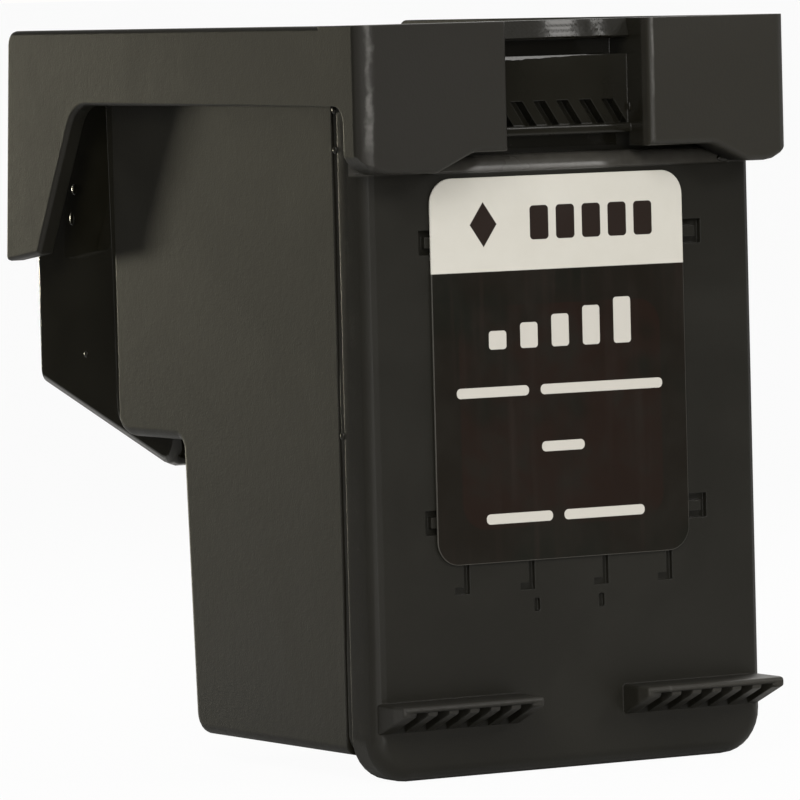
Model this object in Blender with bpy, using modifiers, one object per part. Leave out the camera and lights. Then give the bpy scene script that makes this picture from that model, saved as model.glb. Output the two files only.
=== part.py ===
"""Inkjet ink cartridge with its own printhead, at real size.

Metres, +Z up. The label faces -Y, the nozzles look along +Y and the contact end is at the top.
Y is measured from the lid's front face, Z from its lower edge and X from the plane of symmetry.
An empty that carries every piece then centres the cartridge over its origin.
"""

from math import pi, sin, tan

import bmesh
import bpy
from mathutils import Matrix, Vector

# Lid
LID_WIDTH = 0.0340
LID_THICKNESS = 0.0031
LID_CORNER_RADIUS = 0.0033
LID_FRONT_RADIUS = 0.0012
HEIGHT = 0.0551

# Collar around the contact end, moulded with the lid
COLLAR_WALL = 0.0013
COLLAR_PROUD = 0.0030
COLLAR_DRAFT = 0.0003
COLLAR_CORNER_RADIUS = 0.0013
COLLAR_EDGE_RADIUS = 0.0005
LEAF_DROP = 0.0108
EAR_CORNER_RADIUS = 0.0024
EAR_DEPTH = 0.0027
EAR_FILLET_RADIUS = 0.0013
BAND_DROP = 0.0058
WING_REACH = 0.0511
WING_DRAFT = 0.0013
WING_DROP = 0.0180
WING_LIP_DROP = 0.0173
WING_FOOT = 0.0054
WING_LEAN = 0.0064
WING_FILLET_RADIUS = 0.0030
WING_TOP_RADIUS = 0.0012

# Relief under the collar's front
ARCH_LEFT = 0.0120
ARCH_RIGHT = 0.0148
ARCH_SLOPE = 0.0031
ARCH_RISE = 0.0014
ARCH_RADIUS = 0.0012
SHOULDER_TOP_DROP = 0.0097
SHOULDER_RADIUS = 0.0013
UNDERCUT_DEPTH = 0.0018
UNDERCUT_TOP_DROP = 0.0084

# Latch notch in the collar's front
NOTCH_WIDTH = 0.0122
NOTCH_EDGE_RADIUS = 0.0004
LATCH_SLOT_DEPTH = 0.0023
LATCH_SLOT_TOP_DROP = 0.0014
LATCH_SLOT_HEIGHT = 0.0012
LATCH_BAR_DROP = 0.0077
LATCH_BAR_HEIGHT = 0.0007
LATCH_BAR_PROUD = 0.0004
POCKET_COUNT = 6
POCKET_PITCH = 0.00197
POCKET_WIDTH = 0.0010
POCKET_TOP_DROP = 0.0059
POCKET_SLANT = 0.0012
POCKET_DEPTH = 0.0010

# Finger ridges on the lid
RIDGE_INNER_X = 0.0045
RIDGE_OUTER_X = 0.0165
RIDGE_TOP = 0.0059
RIDGE_LIP = 0.0007
RIDGE_PLATE = 0.00045
RIDGE_ROOT_HEIGHT = 0.0022
RIDGE_REACH = 0.0035
RIDGE_TIP_RADIUS = 0.0003
RIDGE_END_RADIUS = 0.0002
RIDGE_POCKET_COUNT = 6
RIDGE_POCKET_WIDTH = 0.0010
RIDGE_POCKET_PITCH = 0.00177

# Vents and small marks in the lid's face
VENT_INNER_X = 0.0032
VENT_OUTER_X = 0.0088
VENT_FOOT = 0.0019
VENT_COVER = 0.0098
VENT_LOOP_WIDTH = 0.0018
VENT_LOOP_PITCH = 0.0022
VENT_LOOPS = 3
VENT_WIDTH = 0.0005
VENT_DEPTH = 0.00035
VENT_TOE = 0.0010
VENT_HOLE_RADIUS = 0.0005
DOT_X = 0.0028
DOT_DROP = 0.0033
DOT_WIDTH = 0.0005
DOT_HEIGHT = 0.0010
DOT_DEPTH = 0.0003
MARK_REACH = 0.0122
MARK_INSET_LOW = 0.0032
MARK_INSET_HIGH = 0.0046
MARK_WIDTH = 0.0021
MARK_HEIGHT = 0.0018
MARK_LINE = 0.0005
MARK_DEPTH = 0.00045

# Inside of the lid
WELD_STEP = 0.0006
WELD_GAP = 0.0001
RIM_WALL = 0.0010
RIM_DEPTH = 0.0016
LID_RIB_COUNT = 5
LID_RIB_PITCH = 0.0060
LID_RIB_THICKNESS = 0.0010
LID_RIB_DEPTH = 0.0028
LID_RIB_MARGIN = 0.0050

# Label
LABEL_WIDTH = 0.0218
LABEL_LOW = 0.0156
LABEL_GAP = 0.0003
LABEL_SHIFT = 0.0004
LABEL_RADIUS = 0.0018
LABEL_THICKNESS = 0.00015

# Body
SEAM_GROOVE = 0.0008
BODY_LIFT = 0.0019
BODY_WALL = 0.0016
BODY_EDGE_RADIUS = 0.0013
LOWER_REAR = 0.0266
LOWER_DRAFT = 0.0010
LOWER_CORNER_RADIUS = 0.0016
STEP_DROP = 0.0311
STEP_RADIUS = 0.0008
UPPER_REAR = 0.0381
UPPER_CORNER_RADIUS = 0.0024
CAVITY_RADIUS = 0.0010
DECK_DROP = 0.0008
DECK_THICKNESS = 0.0016
DECK_REAR = 0.0508

# Snout that carries the printhead
SNOUT_WIDTH = 0.0304
SNOUT_EDGE_RADIUS = 0.0008
NOZZLE_FACE = 0.0537
SNOUT_CHIN_DROP = 0.0275
SNOUT_SLOPE = 0.295
SNOUT_KEEL_Y = 0.0313
SNOUT_KEEL_RADIUS = 0.0021
SNOUT_CHIN_RADIUS = 0.0012
SNOUT_TOP_RADIUS = 0.0015
SNOUT_WALL = 0.0022

# Ink path
PIPE_WIDTH = 0.0106
PIPE_HEIGHT = 0.0164
PIPE_RISE = 0.0036
PIPE_RADIUS = 0.0020
PIPE_WALL = 0.0014
FILTER_SEAT = 0.0006
FILTER_THICKNESS = 0.0003
CHAMBER_FLOOR = 0.0050
INK_SLOT_WIDTH = 0.0016

# Printhead
PRINTHEAD_DROP = 0.0131
DIE_WIDTH = 0.0042
DIE_LENGTH = 0.0142
DIE_THICKNESS = 0.00065
DIE_SLOT_WIDTH = 0.0006
DIE_SLOT_MARGIN = 0.0010
PLATE_THICKNESS = 0.0002
FLEX_WIDTH = 0.0190
FLEX_THICKNESS = 0.0002
FLEX_TAIL = 0.0028
FLEX_FRONT = 0.0060
PAD_ROWS = 8
PAD_ROW_PITCH = 0.0026
PAD_COLUMN_X = (0.0022, 0.0052, 0.0082)
PAD_SIZE = 0.0017
PAD_HEIGHT = 0.00008
PAD_FIRST_Y = 0.0018
BEAD_LENGTH = 0.0064
BEAD_WIDTH = 0.0018
BEAD_HEIGHT = 0.0004

# Foam
FOAM_GAP = 0.0003

# Clearances and facets
FIT = 0.0003
SKIN = 0.0001
SLIDE = 0.00015
PAST = 0.0020
ARC_STEPS = 5
ROUND_SIDES = 16
TINY = 0.000001

# Places that follow from the sizes above
HALF = LID_WIDTH / 2
COLLAR_INNER = HALF + SLIDE
COLLAR_OUTER = COLLAR_INNER + COLLAR_WALL
LEAF_BOTTOM = HEIGHT - LEAF_DROP
BAND_BOTTOM = HEIGHT - BAND_DROP
SHOULDER_TOP = HEIGHT - SHOULDER_TOP_DROP
LABEL_TOP = SHOULDER_TOP - SHOULDER_RADIUS - LABEL_GAP
VENT_LOW = LABEL_LOW - VENT_FOOT
VENT_HIGH = LABEL_TOP - VENT_COVER
MOUTH = LID_THICKNESS + SEAM_GROOVE
DECK = HEIGHT - DECK_DROP
CAVITY_HALF = HALF - BODY_WALL
CAVITY_LOW = BODY_LIFT + BODY_WALL
CAVITY_TOP = DECK - DECK_THICKNESS
FLANGE_BOTTOM = DECK - DECK_THICKNESS
STEP = HEIGHT - STEP_DROP
SNOUT_CHIN = HEIGHT - SNOUT_CHIN_DROP
SNOUT_KEEL = SNOUT_CHIN - (NOZZLE_FACE - SNOUT_KEEL_Y) * SNOUT_SLOPE
PRINTHEAD_Z = HEIGHT - PRINTHEAD_DROP
CAVITY_LOWER_REAR = LOWER_REAR - BODY_WALL
CAVITY_UPPER_REAR = UPPER_REAR - BODY_WALL
CAVITY_STEP = STEP + BODY_WALL
PIPE_FRONT = CAVITY_UPPER_REAR - PIPE_RISE
DIE_POCKET = DIE_THICKNESS + SKIN
FLEX_INNER = SKIN
FLEX_OUTER = SKIN + FLEX_THICKNESS
FLEX_LOW = PRINTHEAD_Z - DIE_LENGTH / 2 - FLEX_TAIL
FRONT_REACH = max(COLLAR_PROUD, RIDGE_REACH)
REAR_REACH = NOZZLE_FACE + FLEX_OUTER + BEAD_HEIGHT + SKIN
CENTRE_Y = (REAR_REACH - FRONT_REACH) / 2

# Turns the axes of a flat outline into the two axes square to X, Y or Z
PLANES = {
    "X": Matrix(((0, 0, 1), (1, 0, 0), (0, 1, 0))),
    "Y": Matrix(((1, 0, 0), (0, 0, -1), (0, 1, 0))),
    "Z": Matrix(((1, 0, 0), (0, 1, 0), (0, 0, 1))),
}
DIRECTIONS = {"X": Vector((1, 0, 0)), "Y": Vector((0, 1, 0)), "Z": Vector((0, 0, 1))}


def clear_scene():
    for thing in list(bpy.data.objects):
        bpy.data.objects.remove(thing, do_unlink=True)


def new_collection(name, hidden):
    group = bpy.data.collections.new(name)
    group.hide_render = hidden
    bpy.context.scene.collection.children.link(group)
    return group


def material(name, colour, roughness, metallic=0.0):
    """A Principled finish in one colour."""
    finish = bpy.data.materials.new(name)
    finish.use_nodes = True
    shader = finish.node_tree.nodes["Principled BSDF"]
    shader.inputs["Base Color"].default_value = (*colour, 1.0)
    shader.inputs["Roughness"].default_value = roughness
    shader.inputs["Metallic"].default_value = metallic
    return finish


def rounded(corners, steps=ARC_STEPS):
    """The closed outline through corners (u, v, radius), each turned by an arc that touches both sides."""
    points = []
    for index, (u, v, radius) in enumerate(corners):
        here = Vector((u, v))
        if not radius:
            points.append(here)
            continue
        before = (Vector(corners[index - 1][:2]) - here).normalized()
        after = (Vector(corners[(index + 1) % len(corners)][:2]) - here).normalized()
        half_angle = before.angle(after) / 2
        centre = here + (before + after).normalized() * (radius / sin(half_angle))
        start = here + before * (radius / tan(half_angle)) - centre
        sweep = pi - 2 * half_angle
        turn = 1 if before.x * after.y - before.y * after.x < 0 else -1
        for step in range(steps + 1):
            spoke = start.copy()
            spoke.rotate(Matrix.Rotation(turn * sweep * step / steps, 2))
            points.append(centre + spoke)
    return points


def box_outline(left, right, low, high, radius=0.0):
    return rounded([(left, low, radius), (right, low, radius), (right, high, radius), (left, high, radius)])


def mesh_from_curve(curve, name):
    """The mesh of a curve with its loose caps welded on and its flat faces made whole."""
    holder = bpy.data.objects.new(name, curve)
    bpy.context.scene.collection.objects.link(holder)
    bpy.context.view_layer.update()
    graph = bpy.context.evaluated_depsgraph_get()
    mesh = bpy.data.meshes.new_from_object(holder.evaluated_get(graph))
    bpy.data.objects.remove(holder, do_unlink=True)
    work = bmesh.new()
    work.from_mesh(mesh)
    bmesh.ops.remove_doubles(work, verts=work.verts, dist=TINY)
    bmesh.ops.dissolve_limit(work, angle_limit=0.001, verts=work.verts, edges=work.edges)
    bmesh.ops.recalc_face_normals(work, faces=work.faces)
    work.to_mesh(mesh)
    work.free()
    mesh.name = name
    return mesh


def new_object(name, mesh):
    shape = bpy.data.objects.new(name, mesh)
    PARTS.objects.link(shape)
    return shape


def prism(name, outline, axis, low, high):
    """A flat outline carried along one axis from low to high."""
    curve = bpy.data.curves.new(name, "CURVE")
    curve.dimensions = "2D"
    curve.fill_mode = "BOTH"
    curve.extrude = (high - low) / 2
    spline = curve.splines.new("POLY")
    spline.points.add(len(outline) - 1)
    for point, place in zip(spline.points, outline):
        point.co = (place[0], place[1], 0, 1)
    spline.use_cyclic_u = True
    mesh = mesh_from_curve(curve, name)
    middle = DIRECTIONS[axis] * ((low + high) / 2)
    mesh.transform(Matrix.Translation(middle) @ PLANES[axis].to_4x4())
    return new_object(name, mesh)


def block(name, x, y, z):
    """A plain box between the pairs of limits x, y and z."""
    work = bmesh.new()
    add_box(work, x, y, z)
    return object_from(work, name)


def add_box(work, x, y, z):
    sides = Vector((x[1] - x[0], y[1] - y[0], z[1] - z[0]))
    middle = Vector((sum(x) / 2, sum(y) / 2, sum(z) / 2))
    place = Matrix.Translation(middle) @ Matrix.Diagonal((*sides, 1.0))
    bmesh.ops.create_cube(work, size=1.0, matrix=place)


def add_pin(work, x, z, radius, y_low, y_high, sides=ROUND_SIDES):
    """A cylinder along Y."""
    place = Matrix.Translation((x, (y_low + y_high) / 2, z)) @ Matrix.Rotation(pi / 2, 4, "X")
    bmesh.ops.create_cone(
        work,
        cap_ends=True,
        segments=sides,
        radius1=radius,
        radius2=radius,
        depth=y_high - y_low,
        matrix=place,
    )


def object_from(work, name):
    bmesh.ops.recalc_face_normals(work, faces=work.faces)
    mesh = bpy.data.meshes.new(name)
    work.to_mesh(mesh)
    work.free()
    return new_object(name, mesh)


def soften(shape, radius, steps, chosen):
    """Rounds the edges whose middle point passes the test."""
    mesh = shape.data
    weights = mesh.attributes.get("bevel_weight_edge")
    if weights is None:
        weights = mesh.attributes.new("bevel_weight_edge", "FLOAT", "EDGE")
    for edge in mesh.edges:
        ends = [mesh.vertices[i].co for i in edge.vertices]
        weights.data[edge.index].value = 1.0 if chosen((ends[0] + ends[1]) / 2) else 0.0
    bevel = shape.modifiers.new("rounding", "BEVEL")
    bevel.limit_method = "WEIGHT"
    bevel.width = radius
    bevel.segments = steps


def combine(shape, operation, *others):
    """Joins, cuts or intersects a shape with helpers, which then count as cutters."""
    for other in others:
        boolean = shape.modifiers.new(other.name, "BOOLEAN")
        boolean.operation = operation
        boolean.solver = "EXACT"
        boolean.object = other
        other.hide_render = True
        other.display_type = "WIRE"
        PARTS.objects.unlink(other)
        CUTTERS.objects.link(other)


def mirrored(shape):
    """Adds the same shape on the other side of the plane of symmetry."""
    mirror = shape.modifiers.new("other side", "MIRROR")
    mirror.merge_threshold = SKIN
    mirror.use_mirror_merge = False
    return shape


def finished(shape, finish, smooth_angle=0.6):
    shape.data.materials.clear()
    shape.data.materials.append(finish)
    shape.data.shade_smooth()
    shape.data.set_sharp_from_angle(angle=smooth_angle)
    return shape


# Lid and collar


def lid_plate():
    outline = rounded(
        [
            (-HALF, 0.0, LID_CORNER_RADIUS),
            (HALF, 0.0, LID_CORNER_RADIUS),
            (HALF, HEIGHT, 0.0),
            (-HALF, HEIGHT, 0.0),
        ],
        steps=8,
    )
    plate = prism("lid", outline, "Y", 0.0, LID_THICKNESS)
    soften(
        plate,
        LID_FRONT_RADIUS,
        4,
        lambda middle: middle.y < TINY and middle.z < HEIGHT - TINY,
    )
    return plate


def collar_front():
    """Two leaves and the bridge behind the notch: a front outline met with a plan outline."""
    arch_top = LEAF_BOTTOM + ARCH_RISE
    face = rounded(
        [
            (-COLLAR_OUTER - COLLAR_DRAFT, LEAF_BOTTOM, EAR_CORNER_RADIUS),
            (-ARCH_LEFT, LEAF_BOTTOM, ARCH_RADIUS),
            (-ARCH_LEFT + ARCH_SLOPE, arch_top, ARCH_RADIUS),
            (ARCH_RIGHT - ARCH_SLOPE, arch_top, ARCH_RADIUS),
            (ARCH_RIGHT, LEAF_BOTTOM, ARCH_RADIUS),
            (COLLAR_OUTER + COLLAR_DRAFT, LEAF_BOTTOM, EAR_CORNER_RADIUS),
            (COLLAR_OUTER, HEIGHT, 0.0),
            (-COLLAR_OUTER, HEIGHT, 0.0),
        ]
    )
    front = prism("collar_face", face, "Y", -COLLAR_PROUD, LID_THICKNESS)
    soften(
        front,
        COLLAR_EDGE_RADIUS,
        3,
        lambda middle: middle.y < -COLLAR_PROUD + TINY and middle.z < HEIGHT - TINY,
    )
    notch = NOTCH_WIDTH / 2
    wide = COLLAR_OUTER + COLLAR_DRAFT + PAST
    plan = rounded(
        [
            (-COLLAR_OUTER, -COLLAR_PROUD, COLLAR_CORNER_RADIUS),
            (-notch, -COLLAR_PROUD, NOTCH_EDGE_RADIUS),
            (-notch, 0.0, 0.0),
            (notch, 0.0, 0.0),
            (notch, -COLLAR_PROUD, NOTCH_EDGE_RADIUS),
            (COLLAR_OUTER, -COLLAR_PROUD, COLLAR_CORNER_RADIUS),
            (COLLAR_OUTER, LID_THICKNESS - SKIN, 0.0),
            (-COLLAR_OUTER, LID_THICKNESS - SKIN, 0.0),
        ]
    )
    combine(front, "INTERSECT", prism("collar_plan", plan, "Z", LEAF_BOTTOM - PAST, HEIGHT + PAST))
    return front


def collar_wings():
    """The side walls of the collar: a band along the body that drops beside the snout."""
    foot_rear = WING_REACH + WING_DRAFT
    side = rounded(
        [
            (0.0, HEIGHT, 0.0),
            (0.0, BAND_BOTTOM - EAR_FILLET_RADIUS, 0.0),
            (1.5 * EAR_FILLET_RADIUS, BAND_BOTTOM, 0.0),
            (foot_rear - WING_FOOT - WING_LEAN, BAND_BOTTOM, WING_FILLET_RADIUS),
            (foot_rear - WING_FOOT, HEIGHT - WING_LIP_DROP, 0.0004),
            (foot_rear, HEIGHT - WING_DROP, 0.0004),
            (WING_REACH, HEIGHT, WING_TOP_RADIUS),
        ]
    )
    wing = prism("collar_wing", side, "X", COLLAR_INNER, COLLAR_OUTER)
    soften(
        wing,
        0.0003,
        2,
        lambda middle: middle.x > COLLAR_OUTER - TINY and middle.y > LID_THICKNESS,
    )
    return mirrored(wing)


def ear_relief():
    """Frees the ears' backs from the band, with a fillet where they meet."""
    back = EAR_DEPTH - COLLAR_PROUD
    behind = LID_THICKNESS + PAST
    outline = rounded(
        [
            (back, LEAF_BOTTOM - PAST, 0.0),
            (behind, LEAF_BOTTOM - PAST, 0.0),
            (behind, BAND_BOTTOM, 0.0),
            (back, BAND_BOTTOM, EAR_FILLET_RADIUS),
        ]
    )
    return mirrored(prism("ear_relief", outline, "X", HALF, COLLAR_OUTER + PAST))


def shoulder_relief():
    """The undercut below the collar, whose lower edge is a rounded shoulder of the lid's face."""
    outline = rounded(
        [
            (-SKIN, SHOULDER_TOP - SHOULDER_RADIUS, 0.0),
            (0.0, SHOULDER_TOP - SHOULDER_RADIUS, 0.0),
            (0.0, SHOULDER_TOP, SHOULDER_RADIUS - TINY),
            (UNDERCUT_DEPTH, SHOULDER_TOP, 0.0),
            (UNDERCUT_DEPTH, HEIGHT - UNDERCUT_TOP_DROP, 0.0),
            (-SKIN, HEIGHT - UNDERCUT_TOP_DROP, 0.0),
        ]
    )
    return prism("shoulder_relief", outline, "X", -ARCH_LEFT, ARCH_RIGHT)


def latch_slot():
    notch = NOTCH_WIDTH / 2
    top = HEIGHT - LATCH_SLOT_TOP_DROP
    return block("latch_slot", (-notch, notch), (-PAST, LATCH_SLOT_DEPTH), (top - LATCH_SLOT_HEIGHT, top))


def latch_bar():
    notch = NOTCH_WIDTH / 2 + SKIN
    top = HEIGHT - LATCH_BAR_DROP
    outline = rounded(
        [
            (-LATCH_BAR_PROUD, top - LATCH_BAR_HEIGHT, LATCH_BAR_PROUD / 2),
            (SKIN, top - LATCH_BAR_HEIGHT, 0.0),
            (SKIN, top, 0.0),
            (-LATCH_BAR_PROUD, top, LATCH_BAR_PROUD / 2),
        ],
        steps=3,
    )
    return prism("latch_bar", outline, "X", -notch, notch)


def latch_pockets():
    """A row of slanted pockets, which leaves slanted ribs between them."""
    top = HEIGHT - POCKET_TOP_DROP
    bottom = HEIGHT - LATCH_BAR_DROP
    work = bmesh.new()
    for index in range(POCKET_COUNT):
        centre = (index - (POCKET_COUNT - 1) / 2) * POCKET_PITCH
        before = len(work.verts)
        add_box(
            work,
            (centre - POCKET_WIDTH / 2, centre + POCKET_WIDTH / 2),
            (-PAST, POCKET_DEPTH),
            (bottom, top),
        )
        work.verts.ensure_lookup_table()
        for vertex in work.verts[before:]:
            lean = -0.5 if vertex.co.z > (top + bottom) / 2 else 0.5
            vertex.co.x += lean * POCKET_SLANT
    return object_from(work, "latch_pockets")


def finger_ridge():
    """A thin ledge on a row of slanted gussets."""
    root = LID_THICKNESS / 2
    outline = rounded(
        [
            (root, RIDGE_TOP, 0.0),
            (root, RIDGE_TOP - RIDGE_ROOT_HEIGHT, 0.0),
            (0.0, RIDGE_TOP - RIDGE_ROOT_HEIGHT, 0.0),
            (-RIDGE_REACH, RIDGE_TOP - RIDGE_LIP, RIDGE_TIP_RADIUS),
            (-RIDGE_REACH, RIDGE_TOP, RIDGE_TIP_RADIUS),
        ],
        steps=4,
    )
    ridge = prism("finger_ridge", outline, "X", RIDGE_INNER_X, RIDGE_OUTER_X)
    ends = (RIDGE_INNER_X, RIDGE_OUTER_X)
    soften(
        ridge,
        RIDGE_END_RADIUS,
        2,
        lambda middle: middle.y < -TINY and min(abs(middle.x - end) for end in ends) < TINY,
    )
    return mirrored(ridge)


def ridge_pockets():
    middle = (RIDGE_INNER_X + RIDGE_OUTER_X) / 2
    work = bmesh.new()
    for index in range(RIDGE_POCKET_COUNT):
        centre = middle + (index - (RIDGE_POCKET_COUNT - 1) / 2) * RIDGE_POCKET_PITCH
        add_box(
            work,
            (centre - RIDGE_POCKET_WIDTH / 2, centre + RIDGE_POCKET_WIDTH / 2),
            (-RIDGE_REACH - PAST, -SKIN),
            (RIDGE_TOP - RIDGE_ROOT_HEIGHT - PAST, RIDGE_TOP - RIDGE_PLATE),
        )
    return mirrored(object_from(work, "ridge_pockets"))


def band_outline(path, width):
    """The outline of a band along a path whose turns are all square."""
    steps = [Vector(b) - Vector(a) for a, b in zip(path, path[1:])]
    across = [Vector((-step.y, step.x)).normalized() * width / 2 for step in steps]
    corners = [a if (a - b).length < TINY else a + b for a, b in zip(across, across[1:])]
    offsets = [across[0], *corners, across[-1]]
    left = [Vector(place) + offset for place, offset in zip(path, offsets)]
    right = [Vector(place) - offset for place, offset in zip(path, offsets)]
    return [tuple(place) for place in left + right[::-1]]


def vent_groove(name, x, turn):
    """A channel that folds back and forth under the label and ends in a short toe below it."""
    loop_top = VENT_HIGH - VENT_LOOP_PITCH
    path = [(x, VENT_HIGH)]
    for index in range(VENT_LOOPS):
        z = loop_top - index * VENT_LOOP_PITCH
        near, far = (x, x + turn * VENT_LOOP_WIDTH) if index % 2 == 0 else (x + turn * VENT_LOOP_WIDTH, x)
        path += [(near, z), (far, z)]
    end = path[-1][0]
    path += [(end, loop_top - VENT_LOOPS * VENT_LOOP_PITCH)]
    if abs(end - x) > TINY:
        path += [(x, loop_top - VENT_LOOPS * VENT_LOOP_PITCH)]
    path += [(x, VENT_LOW), (x - VENT_TOE, VENT_LOW)]
    return prism(name, band_outline(path, VENT_WIDTH), "Y", -PAST, VENT_DEPTH)


def vent_holes():
    work = bmesh.new()
    for x in (-VENT_OUTER_X, -VENT_INNER_X, VENT_INNER_X, VENT_OUTER_X):
        add_pin(work, x, VENT_HIGH, VENT_HOLE_RADIUS, -PAST, MOUTH + PAST)
    return object_from(work, "vent_holes")


def face_dots():
    """Two short slots below the label."""
    middle = LABEL_LOW - DOT_DROP
    outline = box_outline(
        DOT_X - DOT_WIDTH / 2,
        DOT_X + DOT_WIDTH / 2,
        middle - DOT_HEIGHT / 2,
        middle + DOT_HEIGHT / 2,
        DOT_WIDTH / 3,
    )
    return mirrored(prism("face_dots", outline, "Y", -PAST, DOT_DEPTH))


def face_mark(name, middle):
    """A pair of square grooves that look out from under the label's two edges."""
    left = MARK_REACH - MARK_WIDTH
    low = middle - MARK_HEIGHT / 2
    high = middle + MARK_HEIGHT / 2
    mark = block(name, (left, MARK_REACH), (-PAST, MARK_DEPTH), (low, high))
    island = block(
        name + "_island",
        (left + MARK_LINE, MARK_REACH - MARK_LINE),
        (-2 * PAST, MARK_DEPTH + PAST),
        (low + MARK_LINE, high - MARK_LINE),
    )
    combine(mark, "DIFFERENCE", island)
    return mirrored(mark)


def weld_land():
    """The step behind the plate that closes the body's mouth and leaves the groove round the seam."""
    outline = box_outline(
        -HALF + WELD_STEP, HALF - WELD_STEP, BODY_LIFT + WELD_STEP, DECK - WELD_STEP, BODY_EDGE_RADIUS
    )
    return prism("weld_land", outline, "Y", LID_THICKNESS - WELD_STEP, MOUTH - WELD_GAP)


def locating_rim():
    """A wall round the back of the lid that drops into the body's mouth."""
    outer = box_outline(
        -CAVITY_HALF + FIT, CAVITY_HALF - FIT, CAVITY_LOW + FIT, CAVITY_TOP - FIT, CAVITY_RADIUS
    )
    inner_half = CAVITY_HALF - FIT - RIM_WALL
    inner = box_outline(
        -inner_half, inner_half, CAVITY_LOW + FIT + RIM_WALL, CAVITY_TOP - FIT - RIM_WALL, CAVITY_RADIUS / 2
    )
    rim = prism("locating_rim", outer, "Y", MOUTH - WELD_STEP, MOUTH + RIM_DEPTH)
    combine(rim, "DIFFERENCE", prism("rim_opening", inner, "Y", MOUTH - WELD_GAP, MOUTH + RIM_DEPTH + PAST))
    return rim


def lid_ribs():
    """Ribs that hold the foam back and leave an air space behind the vents."""
    work = bmesh.new()
    for index in range(LID_RIB_COUNT):
        x = (index - (LID_RIB_COUNT - 1) / 2) * LID_RIB_PITCH
        add_box(
            work,
            (x - LID_RIB_THICKNESS / 2, x + LID_RIB_THICKNESS / 2),
            (MOUTH - WELD_STEP, MOUTH + LID_RIB_DEPTH),
            (CAVITY_LOW + LID_RIB_MARGIN, CAVITY_TOP - LID_RIB_MARGIN),
        )
    return object_from(work, "lid_ribs")


def make_lid(finish):
    lid = lid_plate()
    combine(lid, "UNION", collar_front(), collar_wings())
    combine(lid, "DIFFERENCE", ear_relief(), shoulder_relief())
    combine(lid, "UNION", latch_bar(), finger_ridge())
    combine(lid, "DIFFERENCE", latch_slot(), latch_pockets(), ridge_pockets())
    combine(lid, "UNION", weld_land(), locating_rim(), lid_ribs())
    for index, x in enumerate((-VENT_OUTER_X, -VENT_INNER_X, VENT_INNER_X, VENT_OUTER_X)):
        turn = 1 if index % 2 == 0 else -1
        combine(lid, "DIFFERENCE", vent_groove(f"vent_groove_{index + 1}", x, turn))
    marks = [
        face_mark("face_mark_low", LABEL_LOW + MARK_INSET_LOW),
        face_mark("face_mark_high", LABEL_TOP - MARK_INSET_HIGH),
    ]
    combine(lid, "DIFFERENCE", vent_holes(), face_dots(), *marks)
    return finished(lid, finish)


def make_label(finish):
    left = -LABEL_WIDTH / 2 - LABEL_SHIFT
    outline = box_outline(left, left + LABEL_WIDTH, LABEL_LOW, LABEL_TOP, LABEL_RADIUS)
    label = prism("label", outline, "Y", -SKIN - LABEL_THICKNESS, -SKIN)
    return finished(label, finish)


# Body


def body_block():
    """The reservoir's outside, with the deck that widens beside the snout, as one side outline."""
    outline = rounded(
        [
            (MOUTH, BODY_LIFT, 0.0),
            (LOWER_REAR, BODY_LIFT, LOWER_CORNER_RADIUS),
            (LOWER_REAR + LOWER_DRAFT, STEP, STEP_RADIUS),
            (UPPER_REAR, STEP, UPPER_CORNER_RADIUS),
            (UPPER_REAR, FLANGE_BOTTOM, 0.0),
            (DECK_REAR, FLANGE_BOTTOM, 0.0),
            (DECK_REAR, DECK + PAST / 2, 0.0),
            (MOUTH, DECK + PAST / 2, 0.0),
        ]
    )
    shell = prism("reservoir_body", outline, "X", -HALF, HALF)
    soften(
        shell,
        BODY_EDGE_RADIUS,
        4,
        lambda middle: abs(middle.x) > HALF - TINY
        and middle.y > MOUTH + TINY
        and middle.z < FLANGE_BOTTOM - TINY,
    )
    return shell


def snout():
    """The printhead's carrier, with a keel that rises towards the nozzle face."""
    outline = rounded(
        [
            (SNOUT_KEEL_Y, DECK + PAST / 4, 0.0),
            (SNOUT_KEEL_Y, SNOUT_KEEL, SNOUT_KEEL_RADIUS),
            (NOZZLE_FACE, SNOUT_CHIN, SNOUT_CHIN_RADIUS),
            (NOZZLE_FACE, DECK + PAST / 4, 0.0),
        ]
    )
    half = SNOUT_WIDTH / 2
    shape = prism("snout", outline, "X", -half, half)
    soften(shape, SNOUT_EDGE_RADIUS, 2, lambda middle: abs(middle.x) > half - TINY and middle.z < DECK)
    return shape


def deck_trim():
    """Levels the contact deck and rounds its rear edge, where the circuit bends down to the nozzle face."""
    front = MOUTH - PAST
    bend_end = DECK - SNOUT_TOP_RADIUS - TINY
    outline = rounded(
        [
            (front, DECK, 0.0),
            (NOZZLE_FACE, DECK, SNOUT_TOP_RADIUS),
            (NOZZLE_FACE, bend_end, 0.0),
            (NOZZLE_FACE + PAST, bend_end, 0.0),
            (NOZZLE_FACE + PAST, DECK + PAST, 0.0),
            (front, DECK + PAST, 0.0),
        ]
    )
    return prism("deck_trim", outline, "X", -HALF - PAST, HALF + PAST)


def cavity():
    front = MOUTH - PAST
    outline = rounded(
        [
            (front, CAVITY_LOW, 0.0),
            (CAVITY_LOWER_REAR, CAVITY_LOW, CAVITY_RADIUS),
            (CAVITY_LOWER_REAR + LOWER_DRAFT, CAVITY_STEP, STEP_RADIUS / 2),
            (CAVITY_UPPER_REAR, CAVITY_STEP, CAVITY_RADIUS),
            (CAVITY_UPPER_REAR, CAVITY_TOP, CAVITY_RADIUS),
            (front, CAVITY_TOP, 0.0),
        ],
        steps=3,
    )
    return prism("cavity", outline, "X", -CAVITY_HALF, CAVITY_HALF)


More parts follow.
